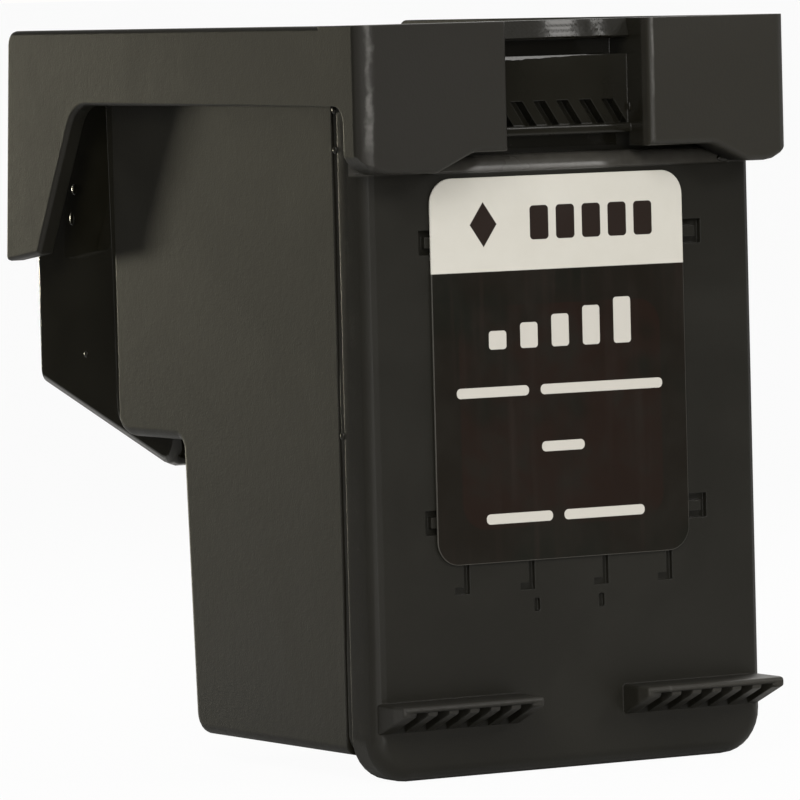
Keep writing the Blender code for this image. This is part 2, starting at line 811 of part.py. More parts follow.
def snout_cavity():
    """The reservoir's narrower stretch inside the snout, with a floor that keeps to the keel's slope."""
    front = CAVITY_UPPER_REAR - PAST / 4
    rear = NOZZLE_FACE - SNOUT_WALL
    rise = (rear - front) * SNOUT_SLOPE
    floor = SNOUT_KEEL + (front - SNOUT_KEEL_Y) * SNOUT_SLOPE + BODY_WALL
    outline = rounded(
        [
            (front, floor, 0.0),
            (rear, floor + rise, CAVITY_RADIUS),
            (rear, CAVITY_TOP, CAVITY_RADIUS),
            (front, CAVITY_TOP, 0.0),
        ],
        steps=3,
    )
    half = SNOUT_WIDTH / 2 - BODY_WALL
    return prism("snout_cavity", outline, "X", -half, half)


def plate_outline(width, height, radius=0.0, grow=0.0):
    """A rounded rectangle round the printhead's axis, made larger all round by grow."""
    half_width = width / 2 + grow
    half_height = height / 2 + grow
    return box_outline(
        -half_width,
        half_width,
        PRINTHEAD_Z - half_height,
        PRINTHEAD_Z + half_height,
        max(radius + grow, 0.0),
    )


def standpipe():
    """The tower that carries ink from the foam through the snout to the die."""
    outline = plate_outline(PIPE_WIDTH, PIPE_HEIGHT, PIPE_RADIUS)
    return prism("standpipe", outline, "Y", PIPE_FRONT, NOZZLE_FACE - SNOUT_WALL / 2)


def ink_path():
    """The filter's seat, the chamber behind it, the slot to the die and the die's pocket."""
    seat = plate_outline(PIPE_WIDTH, PIPE_HEIGHT, PIPE_RADIUS, grow=-PIPE_WALL / 2)
    chamber = plate_outline(PIPE_WIDTH, PIPE_HEIGHT, PIPE_RADIUS, grow=-PIPE_WALL)
    slot = plate_outline(INK_SLOT_WIDTH, DIE_LENGTH - 2 * DIE_SLOT_MARGIN, INK_SLOT_WIDTH / 3)
    pocket = plate_outline(DIE_WIDTH, DIE_LENGTH, 0.0, grow=FIT)
    seat_depth = PIPE_FRONT + FILTER_SEAT
    return [
        prism("filter_seat", seat, "Y", PIPE_FRONT - PAST, seat_depth),
        prism("ink_chamber", chamber, "Y", PIPE_FRONT - PAST, NOZZLE_FACE - CHAMBER_FLOOR),
        prism("ink_slot", slot, "Y", PIPE_FRONT, NOZZLE_FACE + PAST),
        prism("die_pocket", pocket, "Y", NOZZLE_FACE - DIE_POCKET, NOZZLE_FACE + PAST),
    ]


def make_body(finish):
    body = body_block()
    combine(body, "UNION", snout())
    combine(body, "DIFFERENCE", deck_trim(), cavity(), snout_cavity())
    combine(body, "UNION", standpipe())
    combine(body, "DIFFERENCE", *ink_path())
    return finished(body, finish)


# Pieces inside


def make_foam(finish):
    """A stepped block that fills the reservoir, hollowed where the standpipe presses into it."""
    front = MOUTH + LID_RIB_DEPTH + FOAM_GAP
    outline = rounded(
        [
            (front, CAVITY_LOW + FOAM_GAP, 0.0),
            (CAVITY_LOWER_REAR - FOAM_GAP, CAVITY_LOW + FOAM_GAP, CAVITY_RADIUS),
            (CAVITY_LOWER_REAR + LOWER_DRAFT - FOAM_GAP, CAVITY_STEP + FOAM_GAP, 0.0),
            (CAVITY_UPPER_REAR - FOAM_GAP, CAVITY_STEP + FOAM_GAP, CAVITY_RADIUS),
            (CAVITY_UPPER_REAR - FOAM_GAP, CAVITY_TOP - FOAM_GAP, CAVITY_RADIUS),
            (front, CAVITY_TOP - FOAM_GAP, 0.0),
        ],
        steps=3,
    )
    half = CAVITY_HALF - FOAM_GAP
    foam = prism("foam_block", outline, "X", -half, half)
    hollow = plate_outline(PIPE_WIDTH, PIPE_HEIGHT, PIPE_RADIUS, grow=FOAM_GAP)
    combine(foam, "DIFFERENCE", prism("pipe_hollow", hollow, "Y", PIPE_FRONT - FOAM_GAP, UPPER_REAR))
    return finished(foam, finish)


def make_filter(finish):
    outline = plate_outline(PIPE_WIDTH, PIPE_HEIGHT, PIPE_RADIUS, grow=-PIPE_WALL / 2 - SKIN)
    back = PIPE_FRONT + FILTER_SEAT - SKIN
    return finished(prism("filter_screen", outline, "Y", back - FILTER_THICKNESS, back), finish)


def make_die(finish):
    """The silicon chip, with the feed slot that passes ink to both rows of nozzles."""
    back = NOZZLE_FACE - DIE_POCKET + SKIN
    die = prism("printhead_die", plate_outline(DIE_WIDTH, DIE_LENGTH), "Y", back, back + DIE_THICKNESS)
    slot = plate_outline(DIE_SLOT_WIDTH, DIE_LENGTH - 2 * DIE_SLOT_MARGIN)
    combine(die, "DIFFERENCE", prism("feed_slot", slot, "Y", back - PAST, back + DIE_THICKNESS + PAST))
    return finished(die, finish)


def make_nozzle_plate(finish):
    outline = plate_outline(DIE_WIDTH, DIE_LENGTH)
    front = NOZZLE_FACE + SKIN
    return finished(prism("nozzle_plate", outline, "Y", front, front + PLATE_THICKNESS), finish)


def make_flex(finish):
    """The flexible circuit: contact pads on the deck, round the snout's edge and round the die."""
    bend = SNOUT_TOP_RADIUS
    outline = rounded(
        [
            (NOZZLE_FACE + FLEX_INNER, FLEX_LOW, 0.0),
            (NOZZLE_FACE + FLEX_OUTER, FLEX_LOW, 0.0),
            (NOZZLE_FACE + FLEX_OUTER, DECK + FLEX_OUTER, bend + FLEX_OUTER),
            (FLEX_FRONT, DECK + FLEX_OUTER, 0.0),
            (FLEX_FRONT, DECK + FLEX_INNER, 0.0),
            (NOZZLE_FACE + FLEX_INNER, DECK + FLEX_INNER, bend + FLEX_INNER),
        ]
    )
    half = FLEX_WIDTH / 2
    flex = prism("flex_circuit", outline, "X", -half, half)
    pads = bmesh.new()
    for row in range(PAD_ROWS):
        y = FLEX_FRONT + PAD_FIRST_Y + row * PAD_ROW_PITCH
        for column in PAD_COLUMN_X:
            for x in (-column, column):
                add_box(
                    pads,
                    (x - PAD_SIZE / 2, x + PAD_SIZE / 2),
                    (y - PAD_SIZE / 2, y + PAD_SIZE / 2),
                    (DECK + FLEX_INNER + FLEX_THICKNESS / 2, DECK + FLEX_OUTER + PAD_HEIGHT),
                )
    combine(flex, "UNION", object_from(pads, "contact_pads"))
    window = plate_outline(DIE_WIDTH, DIE_LENGTH, 0.0, grow=SKIN)
    combine(flex, "DIFFERENCE", prism("die_window", window, "Y", NOZZLE_FACE - PAST, NOZZLE_FACE + PAST))
    return finished(flex, finish)


def make_bead(name, side, finish):
    """A bead of encapsulant over the leads at one end of the die."""
    middle = PRINTHEAD_Z + side * DIE_LENGTH / 2
    outline = box_outline(
        -BEAD_LENGTH / 2,
        BEAD_LENGTH / 2,
        middle - BEAD_WIDTH / 2,
        middle + BEAD_WIDTH / 2,
        BEAD_WIDTH / 2 - SKIN,
    )
    low = NOZZLE_FACE + FLEX_OUTER + SKIN
    bead = prism(name, outline, "Y", low, low + BEAD_HEIGHT)
    soften(bead, BEAD_HEIGHT * 0.7, 2, lambda point: point.y > low + BEAD_HEIGHT - TINY)
    return finished(bead, finish)


def carry_on_frame():
    """Parents every piece and cutter to one empty, which centres the cartridge over its origin."""
    frame = bpy.data.objects.new("cartridge_frame", None)
    frame.empty_display_size = HALF
    frame.location = (0.0, -CENTRE_Y, 0.0)
    PARTS.objects.link(frame)
    for group in (PARTS, CUTTERS):
        for shape in group.objects:
            if shape is not frame:
                shape.parent = frame


clear_scene()
PARTS = new_collection("Ink cartridge", hidden=False)
CUTTERS = new_collection("Cartridge cutters", hidden=True)

BLACK_PLASTIC = material("black plastic", (0.035, 0.034, 0.031), 0.45)
LID_PLASTIC = material("lid plastic", (0.032, 0.031, 0.028), 0.42)
PAPER_LABEL = material("label print", (0.060, 0.042, 0.034), 0.35)
INK_FOAM = material("inked foam", (0.020, 0.020, 0.024), 0.90)
STEEL_MESH = material("steel mesh", (0.55, 0.55, 0.53), 0.40, 1.0)
SILICON = material("silicon", (0.30, 0.30, 0.34), 0.25, 0.6)
GOLD_NICKEL = material("gold plated nickel", (0.83, 0.62, 0.30), 0.30, 1.0)
AMBER_FILM = material("amber film", (0.42, 0.20, 0.05), 0.30)
DARK_EPOXY = material("dark epoxy", (0.025, 0.022, 0.020), 0.20)

make_body(BLACK_PLASTIC)
make_lid(LID_PLASTIC)
make_label(PAPER_LABEL)
make_foam(INK_FOAM)
make_filter(STEEL_MESH)
make_die(SILICON)
make_nozzle_plate(GOLD_NICKEL)
make_flex(AMBER_FILM)
make_bead("encapsulant_bead_lower", -1, DARK_EPOXY)
make_bead("encapsulant_bead_upper", 1, DARK_EPOXY)
carry_on_frame()
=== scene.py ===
"""Finishes and fine parts of an inkjet cartridge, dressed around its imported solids.

Metres, +Z up. The label faces -Y, the nozzles look along +Y and the contact end is at the top.
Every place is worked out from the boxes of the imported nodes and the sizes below.
"""

import bmesh
import bpy
import numpy as np
from mathutils import Matrix, Vector


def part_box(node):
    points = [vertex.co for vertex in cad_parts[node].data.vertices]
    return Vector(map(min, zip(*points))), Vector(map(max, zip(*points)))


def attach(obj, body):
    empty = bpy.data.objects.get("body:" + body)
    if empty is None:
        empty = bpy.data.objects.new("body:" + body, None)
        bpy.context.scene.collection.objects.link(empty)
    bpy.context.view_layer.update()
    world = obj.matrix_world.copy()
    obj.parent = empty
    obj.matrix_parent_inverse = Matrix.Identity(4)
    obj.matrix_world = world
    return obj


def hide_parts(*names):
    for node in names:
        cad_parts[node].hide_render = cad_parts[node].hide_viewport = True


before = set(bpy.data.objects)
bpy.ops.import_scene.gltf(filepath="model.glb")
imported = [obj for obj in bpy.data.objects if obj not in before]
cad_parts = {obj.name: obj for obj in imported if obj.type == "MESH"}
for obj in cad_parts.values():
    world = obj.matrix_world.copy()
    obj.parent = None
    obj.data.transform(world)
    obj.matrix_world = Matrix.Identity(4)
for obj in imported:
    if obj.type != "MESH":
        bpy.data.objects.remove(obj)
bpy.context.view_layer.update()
MM = 0.001

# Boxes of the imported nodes
LID_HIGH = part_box("lid")[1]
BODY_LOW, BODY_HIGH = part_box("reservoir_body")
LABEL_LOW, LABEL_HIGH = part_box("label")
FLEX_LOW, FLEX_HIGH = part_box("flex_circuit")
PLATE_LOW, PLATE_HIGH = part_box("nozzle_plate")

# Camera, from the perspective of the photograph
CAMERA_PLACE = Vector((-0.28401, -0.47830, 0.05794))
CAMERA_YAW = np.radians(30.8)
CAMERA_PITCH = np.radians(3.26)
CAMERA_ROLL = np.radians(-1.45)
CAMERA_LENS = 327.87

# Meshes and smooth shading
ARC_POINTS = 24
JOIN_DISTANCE = MM / 1000
MERGE_DISTANCE = MM / 2000
MERGE_ANGLE = 0.002
JOINED_ANGLE = 0.6
SMOOTH_ANGLE = 0.5
BEAD_ANGLE = 1.2
PLANE_STEP = 20 * MM / 1000
FLAT_AREA = 0.5 * MM * MM
STRIP_WIDTH = 0.42 * MM
MOULD_EDGE = 0.14 * MM
ON_PLANE = 0.05 * MM

# Lid
LID_FACE = BODY_LOW.y - 3.9 * MM
LID_HALF = 17.0 * MM
SEAM_Y = BODY_LOW.y - 0.4 * MM
SEAM_INSET = 0.31 * MM
SEAM_LOW = BODY_LOW.z
SEAM_HIGH = BODY_HIGH.z
STRIP_REAR = 3.2 * MM
STRIP_TOP = 49.0 * MM
STRIP_LEAN = 0.062
STRIP_ROLL = 0.18
NOTCH_HALF = 6.1 * MM
NOTCH_FOOT = 45.8 * MM
COLLAR_PROUD = 3.0 * MM
COLLAR_CORNER = 1.3 * MM
LEAF_EDGE_ROUND = 0.5 * MM
LEAF_AXIS_X = LID_HIGH.x - 2.1 * MM
LEAF_AXIS_Z = LID_HIGH.z - 8.4 * MM
LEAF_FOOT = LID_HIGH.z - 10.9 * MM
SHOULDER_TOP = LID_HIGH.z - 9.7 * MM
SHOULDER_ROUND = 1.3 * MM
SHOULDER_HALF = 15.0 * MM
SLOT_TOP = LID_HIGH.z - 1.4 * MM
SLOT_FOOT = SLOT_TOP - 1.2 * MM

# Painted light on the lid, with painted highlights along edges that also show wear, as ranges over which a
# mask rises
LEAF_PAINTED_LIGHT = (LID_FACE - 1.8 * MM, LID_FACE - 2.2 * MM)
PAINTED_LIGHT_SPAN = (-16.0 * MM, 14.0 * MM)
LEFT_HALF = (0.0, -1.0 * MM)
CORNER_HEIGHTS = (SHOULDER_TOP - 0.6 * MM, SHOULDER_TOP + 3.4 * MM)
NOTCH_HEIGHTS = (SHOULDER_TOP + 1.0 * MM, LID_HIGH.z)
NOTCH_LINE = (NOTCH_HALF + 0.33 * MM, NOTCH_HALF + 0.39 * MM)
LINE_WOBBLE = 0.15 * MM

# Polish of the snout and its keel, as ranges over which a mask rises
SNOUT_START = 12.6 * MM
SNOUT_SIDE = -15.2 * MM
SNOUT_FRONT = (SNOUT_START - 1.2 * MM, SNOUT_START - 0.9 * MM)
UNDER_DECK = (BODY_HIGH.z - 0.05 * MM, BODY_HIGH.z - 0.35 * MM)
KEEL_SIDE = (-SNOUT_SIDE + 0.5 * MM, -SNOUT_SIDE + 0.3 * MM)
KEEL_FRONT = (2.3 * MM, 2.5 * MM)
KEEL_FOOT = (LID_HIGH.z - 33.7 * MM, LID_HIGH.z - 33.5 * MM)
KEEL_TOP = (LID_HIGH.z - 31.12 * MM, LID_HIGH.z - 31.17 * MM)

# Rail and lip of the notch
RAIL_PROUD = 0.40 * MM
RAIL_SKIN = 0.012 * MM
RAIL_CLEAR = 0.03 * MM
RAIL_GAP = 0.02 * MM
RIPPLE = 0.008 * MM
RIPPLE_LENGTH = 0.42 * MM
# Middle, half width and amount of each patch
RUBBED_PATCHES = ((0.3 * MM, 2.0 * MM, 1.0), (3.6 * MM, 0.7 * MM, 0.85))
LIP_START = -6.05 * MM
LIP_END = 2.6 * MM
LIP_HEIGHT = 0.36 * MM
LIP_TILT = 0.325
LIP_WAVES = ((0.10, 0.31 * MM), (0.06, 0.13 * MM))
PLATE_CLEAR = 0.004 * MM

# Drops of plastic, each with a radius, a height and its length over its width
SNOUT_NUB_PLACES = ((21.3 * MM, 42.7 * MM), (21.8 * MM, 40.4 * MM), (20.1 * MM, 29.9 * MM))
SNOUT_NUBS = ((0.42 * MM, 0.12 * MM, 1.0), (0.34 * MM, 0.12 * MM, 1.5), (0.26 * MM, 0.12 * MM, 1.0))
SEAM_NUB_HEIGHTS = (49.0 * MM, 46.1 * MM, 25.3 * MM)
SEAM_NUB = (0.26 * MM, 0.2 * MM, 1.2)
NOTCH_NUB_PLACE = (NOTCH_HALF - 0.05 * MM, LID_FACE - 0.3 * MM, 48.6 * MM)
NOTCH_NUB = (0.14 * MM, 0.12 * MM, 2.4)
SHOULDER_NUB_PLACE = (14.4 * MM, LID_FACE + 0.06 * MM, SHOULDER_TOP - 0.9 * MM)
SHOULDER_NUB = (0.55 * MM, 0.22 * MM, 0.5)
NUB_RINGS = 14
NUB_SIDES = 20

# Label print
LABEL_CORNER = 1.8 * MM
BAND_HEIGHT = 6.9 * MM
PRINT_MARGIN = 0.05 * MM
PRINT_EDGE = 0.03 * MM
LABEL_RINGS = 56
LABEL_SPOKES = 320
GAUGE_STEPS = 5
GAUGE_PITCH = 2.7 * MM
GAUGE_WIDTH = 1.5 * MM
GAUGE_HIGH = 3.4 * MM
GAUGE_FOOT = 31.2 * MM
GAUGE_CORNER = 0.25 * MM
RULE_HEIGHT = 0.75 * MM
# Height, left end and right end of each rule
RULES = (
    (28.1 * MM, -9.4 * MM, -3.2 * MM),
    (28.1 * MM, -2.2 * MM, 8.4 * MM),
    (23.9 * MM, -2.2 * MM, 1.5 * MM),
    (18.8 * MM, -7.1 * MM, -1.4 * MM),
    (18.8 * MM, -0.4 * MM, 6.6 * MM),
)
BAND_BLOCKS = 5
BLOCK_FIRST = -1.6 * MM
BLOCK_PITCH = 2.25 * MM
BLOCK_HALF = (0.8 * MM, 1.25 * MM)
BLOCK_CORNER = 0.3 * MM
LOZENGE_PLACE = -6.4 * MM
LOZENGE_HALF = (1.15 * MM, 1.65 * MM)
WARM_INSET = (2.2 * MM, 2.5 * MM)
WARM_CORNER = 2.0 * MM

# Label sheet
LABEL_SINK = 0.02 * MM
LABEL_ROLL = 0.05 * MM
VENT_PLACES = (-8.8 * MM, -3.2 * MM, 3.2 * MM, 8.8 * MM)
VENT_DENT = 0.02 * MM
VENT_DENT_WIDTH = 0.35 * MM
VENT_TOP = 34.5 * MM

# Flexible circuit
BEND_RADIUS = 1.8 * MM
FLEX_FILM = 0.3 * MM
PAD_RAISE = 0.08 * MM
PAD_PITCH = 2.6 * MM
PAD_COLUMNS = (2.2 * MM, 5.2 * MM, 8.2 * MM)
PAD_HALF = 0.85 * MM
PAD_FIRST = 1.8 * MM
PAD_ROWS = 8
PLATE_SUNK = 0.1 * MM
TRACE_WIDTH = 0.09 * MM
TRACE_PITCH = 0.145 * MM
TRACE_STEPS = 200
TRACE_RISE = 0.014 * MM
TRACE_STOP = 0.6 * MM
TRACE_TOP = FLEX_HIGH.z - PAD_RAISE + TRACE_RISE
DECK_RUN = PLATE_LOW.y - PLATE_SUNK + FLEX_FILM + TRACE_RISE - BEND_RADIUS - FLEX_LOW.y
BEND_RUN = DECK_RUN + BEND_RADIUS * np.pi / 2
LANE_GAP = 0.14 * MM
LANE_ENTRY = 0.4 * MM
UPPER_LANES = (0.3 * MM, 1.7 * MM)
UPPER_PITCH = 0.17 * MM
UPPER_TURN = (0.8 * MM, 3.2 * MM)
LOWER_LANE = 0.5 * MM
LOWER_PITCH = 0.3 * MM
LOWER_TURN = (2.6 * MM, 0.5 * MM)
NOZZLE_PITCH = 0.17 * MM
NOZZLE_ROW = 0.75 * MM

# Weld flash in the seam
FLASH_RADIUS = 0.26 * MM
FLASH_HALF = 0.40 * MM
FLASH_CORNER = 1.3 * MM
FLASH_STEPS = 900
FLASH_SIDES = 8
FLASH_WAVES = (7, 19, 43, 97, 151)

# Studio
FLOOR_GAP = 0.02 * MM
FLOOR_SIZE = 60.0


# Meshes from arrays


def grid_mesh(name, points, ring_rows=False, ring_columns=False):
    """Quads over a (rows, columns, 3) array. A ring's last line joins its first."""
    rows, columns = points.shape[:2]
    i = np.arange(rows if ring_rows else rows - 1)[:, None]
    j = np.arange(columns if ring_columns else columns - 1)[None, :]
    next_i = (i + 1) % rows
    next_j = (j + 1) % columns
    corners = [i * columns + j, i * columns + next_j, next_i * columns + next_j, next_i * columns + j]
    faces = np.stack([np.broadcast_to(c, (i.size, j.size)) for c in corners], axis=-1).reshape(-1, 4)
    mesh = bpy.data.meshes.new(name)
    mesh.from_pydata(points.reshape(-1, 3), [], faces)
    return mesh


def shaded(name, work, angle):
    """An object from a working mesh, smooth but for the edges that turn by more than the angle."""
    mesh = bpy.data.meshes.new(name)
    work.to_mesh(mesh)
    work.free()
    mesh.shade_smooth()
    mesh.set_sharp_from_angle(angle=angle)
    piece = bpy.data.objects.new(name, mesh)
    bpy.context.scene.collection.objects.link(piece)
    return piece


def joined(name, meshes):
    """One object from several meshes, with doubles merged and normals turned outwards."""
    work = bmesh.new()
    for mesh in meshes:
        work.from_mesh(mesh)
        bpy.data.meshes.remove(mesh)
    bmesh.ops.remove_doubles(work, verts=work.verts, dist=JOIN_DISTANCE)
    bmesh.ops.dissolve_degenerate(work, edges=work.edges, dist=MERGE_DISTANCE)
    bmesh.ops.recalc_face_normals(work, faces=work.faces)
    return shaded(name, work, JOINED_ANGLE)


def round_box_outline(half_width, half_height, radius, count):
    """Points at equal steps round a rectangle with round corners, made of four quarter circles."""
    angles = np.linspace(0, np.pi / 2, ARC_POINTS)
    quarters = []
    for turn, (su, sv) in enumerate([(1, 1), (-1, 1), (-1, -1), (1, -1)]):
        centre = np.array([su * (half_width - radius), sv * (half_height - radius)])
        spoke = np.stack([np.cos(angles + turn * np.pi / 2), np.sin(angles + turn * np.pi / 2)], axis=1)
        quarters.append(centre + radius * spoke)
    path = np.concatenate(quarters + [quarters[0][:1]])
    run = np.concatenate([[0], np.cumsum(np.linalg.norm(np.diff(path, axis=0), axis=1))])
    steps = np.linspace(0, run[-1], count, endpoint=False)
    return np.stack([np.interp(steps, run, path[:, 0]), np.interp(steps, run, path[:, 1])], axis=1)


def finish_piece(piece, material, slot, *nodes):
    """Gives a piece its material and its body, and hides the nodes it stands for. The slot is not used."""
    piece.data.materials.clear()
    piece.data.materials.append(material)
    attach(piece, "root")
    if nodes:
        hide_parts(*nodes)
    return piece


def smooth_copy(node, name, angle=SMOOTH_ANGLE):
    """The node's own mesh, its triangles merged and its round faces shaded smooth."""
    work = bmesh.new()
    work.from_mesh(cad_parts[node].data)
    bmesh.ops.remove_doubles(work, verts=work.verts, dist=MERGE_DISTANCE)
    bmesh.ops.dissolve_limit(work, angle_limit=MERGE_ANGLE, verts=work.verts, edges=work.edges)
    piece = shaded(name, work, angle)
    keep_flats_flat(piece.data)
    return piece


def mesh_array(items, name, width=1, kind=float):
    """One value of every item of a mesh, as an array with a row for each item."""
    values = np.empty(len(items) * width, dtype=kind)
    items.foreach_get(name, values)
    return values.reshape(-1, width) if width > 1 else values


def corner_places(mesh):
    """The place and the normal of every face corner."""
    vertex_of = mesh_array(mesh.loops, "vertex_index", kind=int)
    return mesh_array(mesh.vertices, "co", 3)[vertex_of], mesh_array(mesh.corner_normals, "vector", 3)


def keep_flats_flat(mesh):
    """Custom corner normals: every smooth fan of corners takes the normal of the largest flat it touches.

    Corners that share a vertex and a smooth edge get one label, the least of their numbers, by passing the
    lesser label across every such edge until nothing changes. A plane is a flat, and not a strip of a round
    edge, if its area is large and twice the area over the outline is more than a strip's width.
    """
    corners, faces = len(mesh.loops), len(mesh.polygons)
    normals = mesh_array(mesh.polygons, "normal", 3)
    centres = mesh_array(mesh.polygons, "center", 3)
    areas = mesh_array(mesh.polygons, "area")
    starts = mesh_array(mesh.polygons, "loop_start", kind=int)
    counts = mesh_array(mesh.polygons, "loop_total", kind=int)
    edge_of = mesh_array(mesh.loops, "edge_index", kind=int)
    ends = mesh_array(mesh.edges, "vertices", 2, int)
    places = mesh_array(mesh.vertices, "co", 3)
    sharp = np.zeros(len(mesh.edges), dtype=bool)
    if "sharp_edge" in mesh.attributes:
        mesh.attributes["sharp_edge"].data.foreach_get("value", sharp)

    offset = np.sum(normals * centres, axis=1) / PLANE_STEP
    key = np.round(np.concatenate([normals * 500, offset[:, None]], axis=1)).astype(int)
    _, plane = np.unique(key, axis=0, return_inverse=True)
    plane = plane.ravel()
    face_of = np.repeat(np.arange(faces), counts)
    lengths = np.linalg.norm(places[ends[:, 0]] - places[ends[:, 1]], axis=1)
    outline = np.bincount(face_of, weights=lengths[edge_of], minlength=faces)
    plane_area = np.bincount(plane, weights=areas)
    is_flat = (2 * plane_area / np.bincount(plane, weights=outline) > STRIP_WIDTH) & (plane_area > FLAT_AREA)
    width = np.where(is_flat, plane_area, 0.0)[plane]

    following = np.arange(corners) + 1
    following[starts + counts - 1] = starts
    order = np.argsort(edge_of, kind="stable")
    sorted_edges = edge_of[order]
    first = np.flatnonzero((sorted_edges[:-1] == sorted_edges[1:]) & ~sharp[sorted_edges[:-1]])
    one, two = order[first], order[first + 1]
    left = np.concatenate([one, following[one]])
    right = np.concatenate([following[two], two])
    label = np.arange(corners)
    while True:
        least = np.minimum(label[left], label[right])
        before = label.copy()
        np.minimum.at(label, left, least)
        np.minimum.at(label, right, least)
        if np.array_equal(before, label):
            break

    ranked = np.lexsort((width[face_of], label))
    last = np.append(label[ranked][1:] != label[ranked][:-1], True)
    widest = np.zeros(corners, dtype=int)
    widest[label[ranked][last]] = face_of[ranked][last]
    chosen = widest[label]
    summed = np.zeros((corners, 3))
    np.add.at(summed, label, normals[face_of] * areas[face_of, None])
    mean = summed[label]
    mean /= np.maximum(np.linalg.norm(mean, axis=1, keepdims=True), 1e-18)
    on_flat = width[chosen] > 0
    mesh.normals_split_custom_set(np.where(on_flat[:, None], normals[chosen], mean).tolist())


# Node helpers


def fill(tree, made, values):
    """Sets a node's inputs to values, or links sockets to them."""
    for name, value in values.items():
        if isinstance(value, bpy.types.NodeSocket):
            tree.links.new(value, made.inputs[name])
        else:
            made.inputs[name].default_value = value
    return made


def add(tree, kind, inputs=(), **settings):
    """A node with its settings and its inputs."""
    made = tree.nodes.new(kind)
    for name, value in settings.items():
        setattr(made, name, value)
    return fill(tree, made, dict(inputs))


def maths(tree, operation, *values, clamp=False):
    made = add(tree, "ShaderNodeMath", dict(enumerate(values)), operation=operation, use_clamp=clamp)
    return made.outputs["Value"]


def chain(tree, operation, *values):
    """One operation carried through several levels."""
    total = values[0]
    for value in values[1:]:
        total = maths(tree, operation, total, value)
    return total


def product(tree, *values):
    return chain(tree, "MULTIPLY", *values)


def greatest(tree, *values):
    return chain(tree, "MAXIMUM", *values)


def distance_from(tree, value, middle):
    return maths(tree, "ABSOLUTE", maths(tree, "SUBTRACT", value, middle))


def blend_colour(tree, factor, first, second):
    colours = {"Factor": factor, 6: first, 7: second}
    return add(tree, "ShaderNodeMix", colours, data_type="RGBA").outputs[2]


def between(tree, value, low, high, new_low=0.0, new_high=1.0):
    """Carries a value from one range to another, smoothly and clamped."""
    ranges = {"Value": value, "From Min": low, "From Max": high, "To Min": new_low, "To Max": new_high}
    return add(tree, "ShaderNodeMapRange", ranges, interpolation_type="SMOOTHSTEP").outputs["Result"]


def slab(tree, value, low, high, soft):
    """One from low to high, falling to nought over the soft width on both sides."""
    return product(tree, between(tree, value, low - soft, low), between(tree, value, high + soft, high))


def split(tree, place):
    """The X, Y and Z of a place."""
    return add(tree, "ShaderNodeSeparateXYZ", {"Vector": place}).outputs


def noise(tree, place, scale, detail, **more):
    """The level of a noise at a place."""
    inputs = {"Vector": place, "Scale": scale, "Detail": detail, **more}
    return add(tree, "ShaderNodeTexNoise", inputs).outputs["Fac"]


def stretched_noise(tree, place, scales):
    """A noise with its own scale along each axis."""
    stretched = add(tree, "ShaderNodeMapping", {"Vector": place, "Scale": scales})
    return noise(tree, stretched.outputs["Vector"], 1.0, 3.0)


def new_group(name, inputs, outputs):
    """A shader group with named sockets; gives its tree and its input node."""
    tree = bpy.data.node_groups.new(name, "ShaderNodeTree")
    for socket, kind, value in inputs:
        made = tree.interface.new_socket(socket, in_out="INPUT", socket_type=kind)
        if value is not None:
            made.default_value = value
    for socket, kind in outputs:
        tree.interface.new_socket(socket, in_out="OUTPUT", socket_type=kind)
    return tree, tree.nodes.new("NodeGroupInput").outputs


def close_group(tree, **results):
    out = tree.nodes.new("NodeGroupOutput")
    for name, socket in results.items():
        tree.links.new(socket, out.inputs[name])


def use(tree, group, **values):
    """Places a group in a material with its own values; gives its outputs."""
    made = tree.nodes.new("ShaderNodeGroup")
    made.node_tree = bpy.data.node_groups[group]
    return fill(tree, made, values).outputs


# Shared effects


def make_grain_group():
    """The eroded grain of a moulding tool: two sizes of noise added up."""
    tree, given = new_group(
        "Mould grain",
        [("Place", "NodeSocketVector", None), ("Scale", "NodeSocketFloat", 9000.0)],
        [("Height", "NodeSocketFloat")],
    )
    fine = noise(tree, given["Place"], given["Scale"], 2.0)
    broad = noise(tree, given["Place"], product(tree, given["Scale"], 0.22), 2.0)
    close_group(tree, Height=maths(tree, "ADD", fine, product(tree, broad, 0.8)))


def make_handling_group():
    """Slow changes of gloss and tone where a moulding was handled."""
    tree, given = new_group(
        "Handling",
        [("Place", "NodeSocketVector", None), ("Scale", "NodeSocketFloat", 90.0)],
        [("Amount", "NodeSocketFloat")],
    )
    cloud = noise(tree, given["Place"], given["Scale"], 4.0, Roughness=0.6, Distortion=0.6)
    close_group(tree, Amount=between(tree, cloud, 0.3, 0.7))


def make_speck_group():
    """Specks of dust: the cores of a few chosen cells."""
    tree, given = new_group(
        "Dust specks",
        [
            ("Place", "NodeSocketVector", None),
            ("Scale", "NodeSocketFloat", 600.0),
            ("Size", "NodeSocketFloat", 0.12),
            ("Share", "NodeSocketFloat", 0.1),
        ],
        [("Mask", "NodeSocketFloat")],
    )
    cells = add(tree, "ShaderNodeTexVoronoi", {"Vector": given["Place"], "Scale": given["Scale"]})
    core = maths(tree, "LESS_THAN", cells.outputs["Distance"], given["Size"])
    parts = add(tree, "ShaderNodeSeparateColor", {"Color": cells.outputs["Color"]})
    chosen = maths(tree, "LESS_THAN", parts.outputs["Red"], given["Share"])
    close_group(tree, Mask=product(tree, core, chosen))


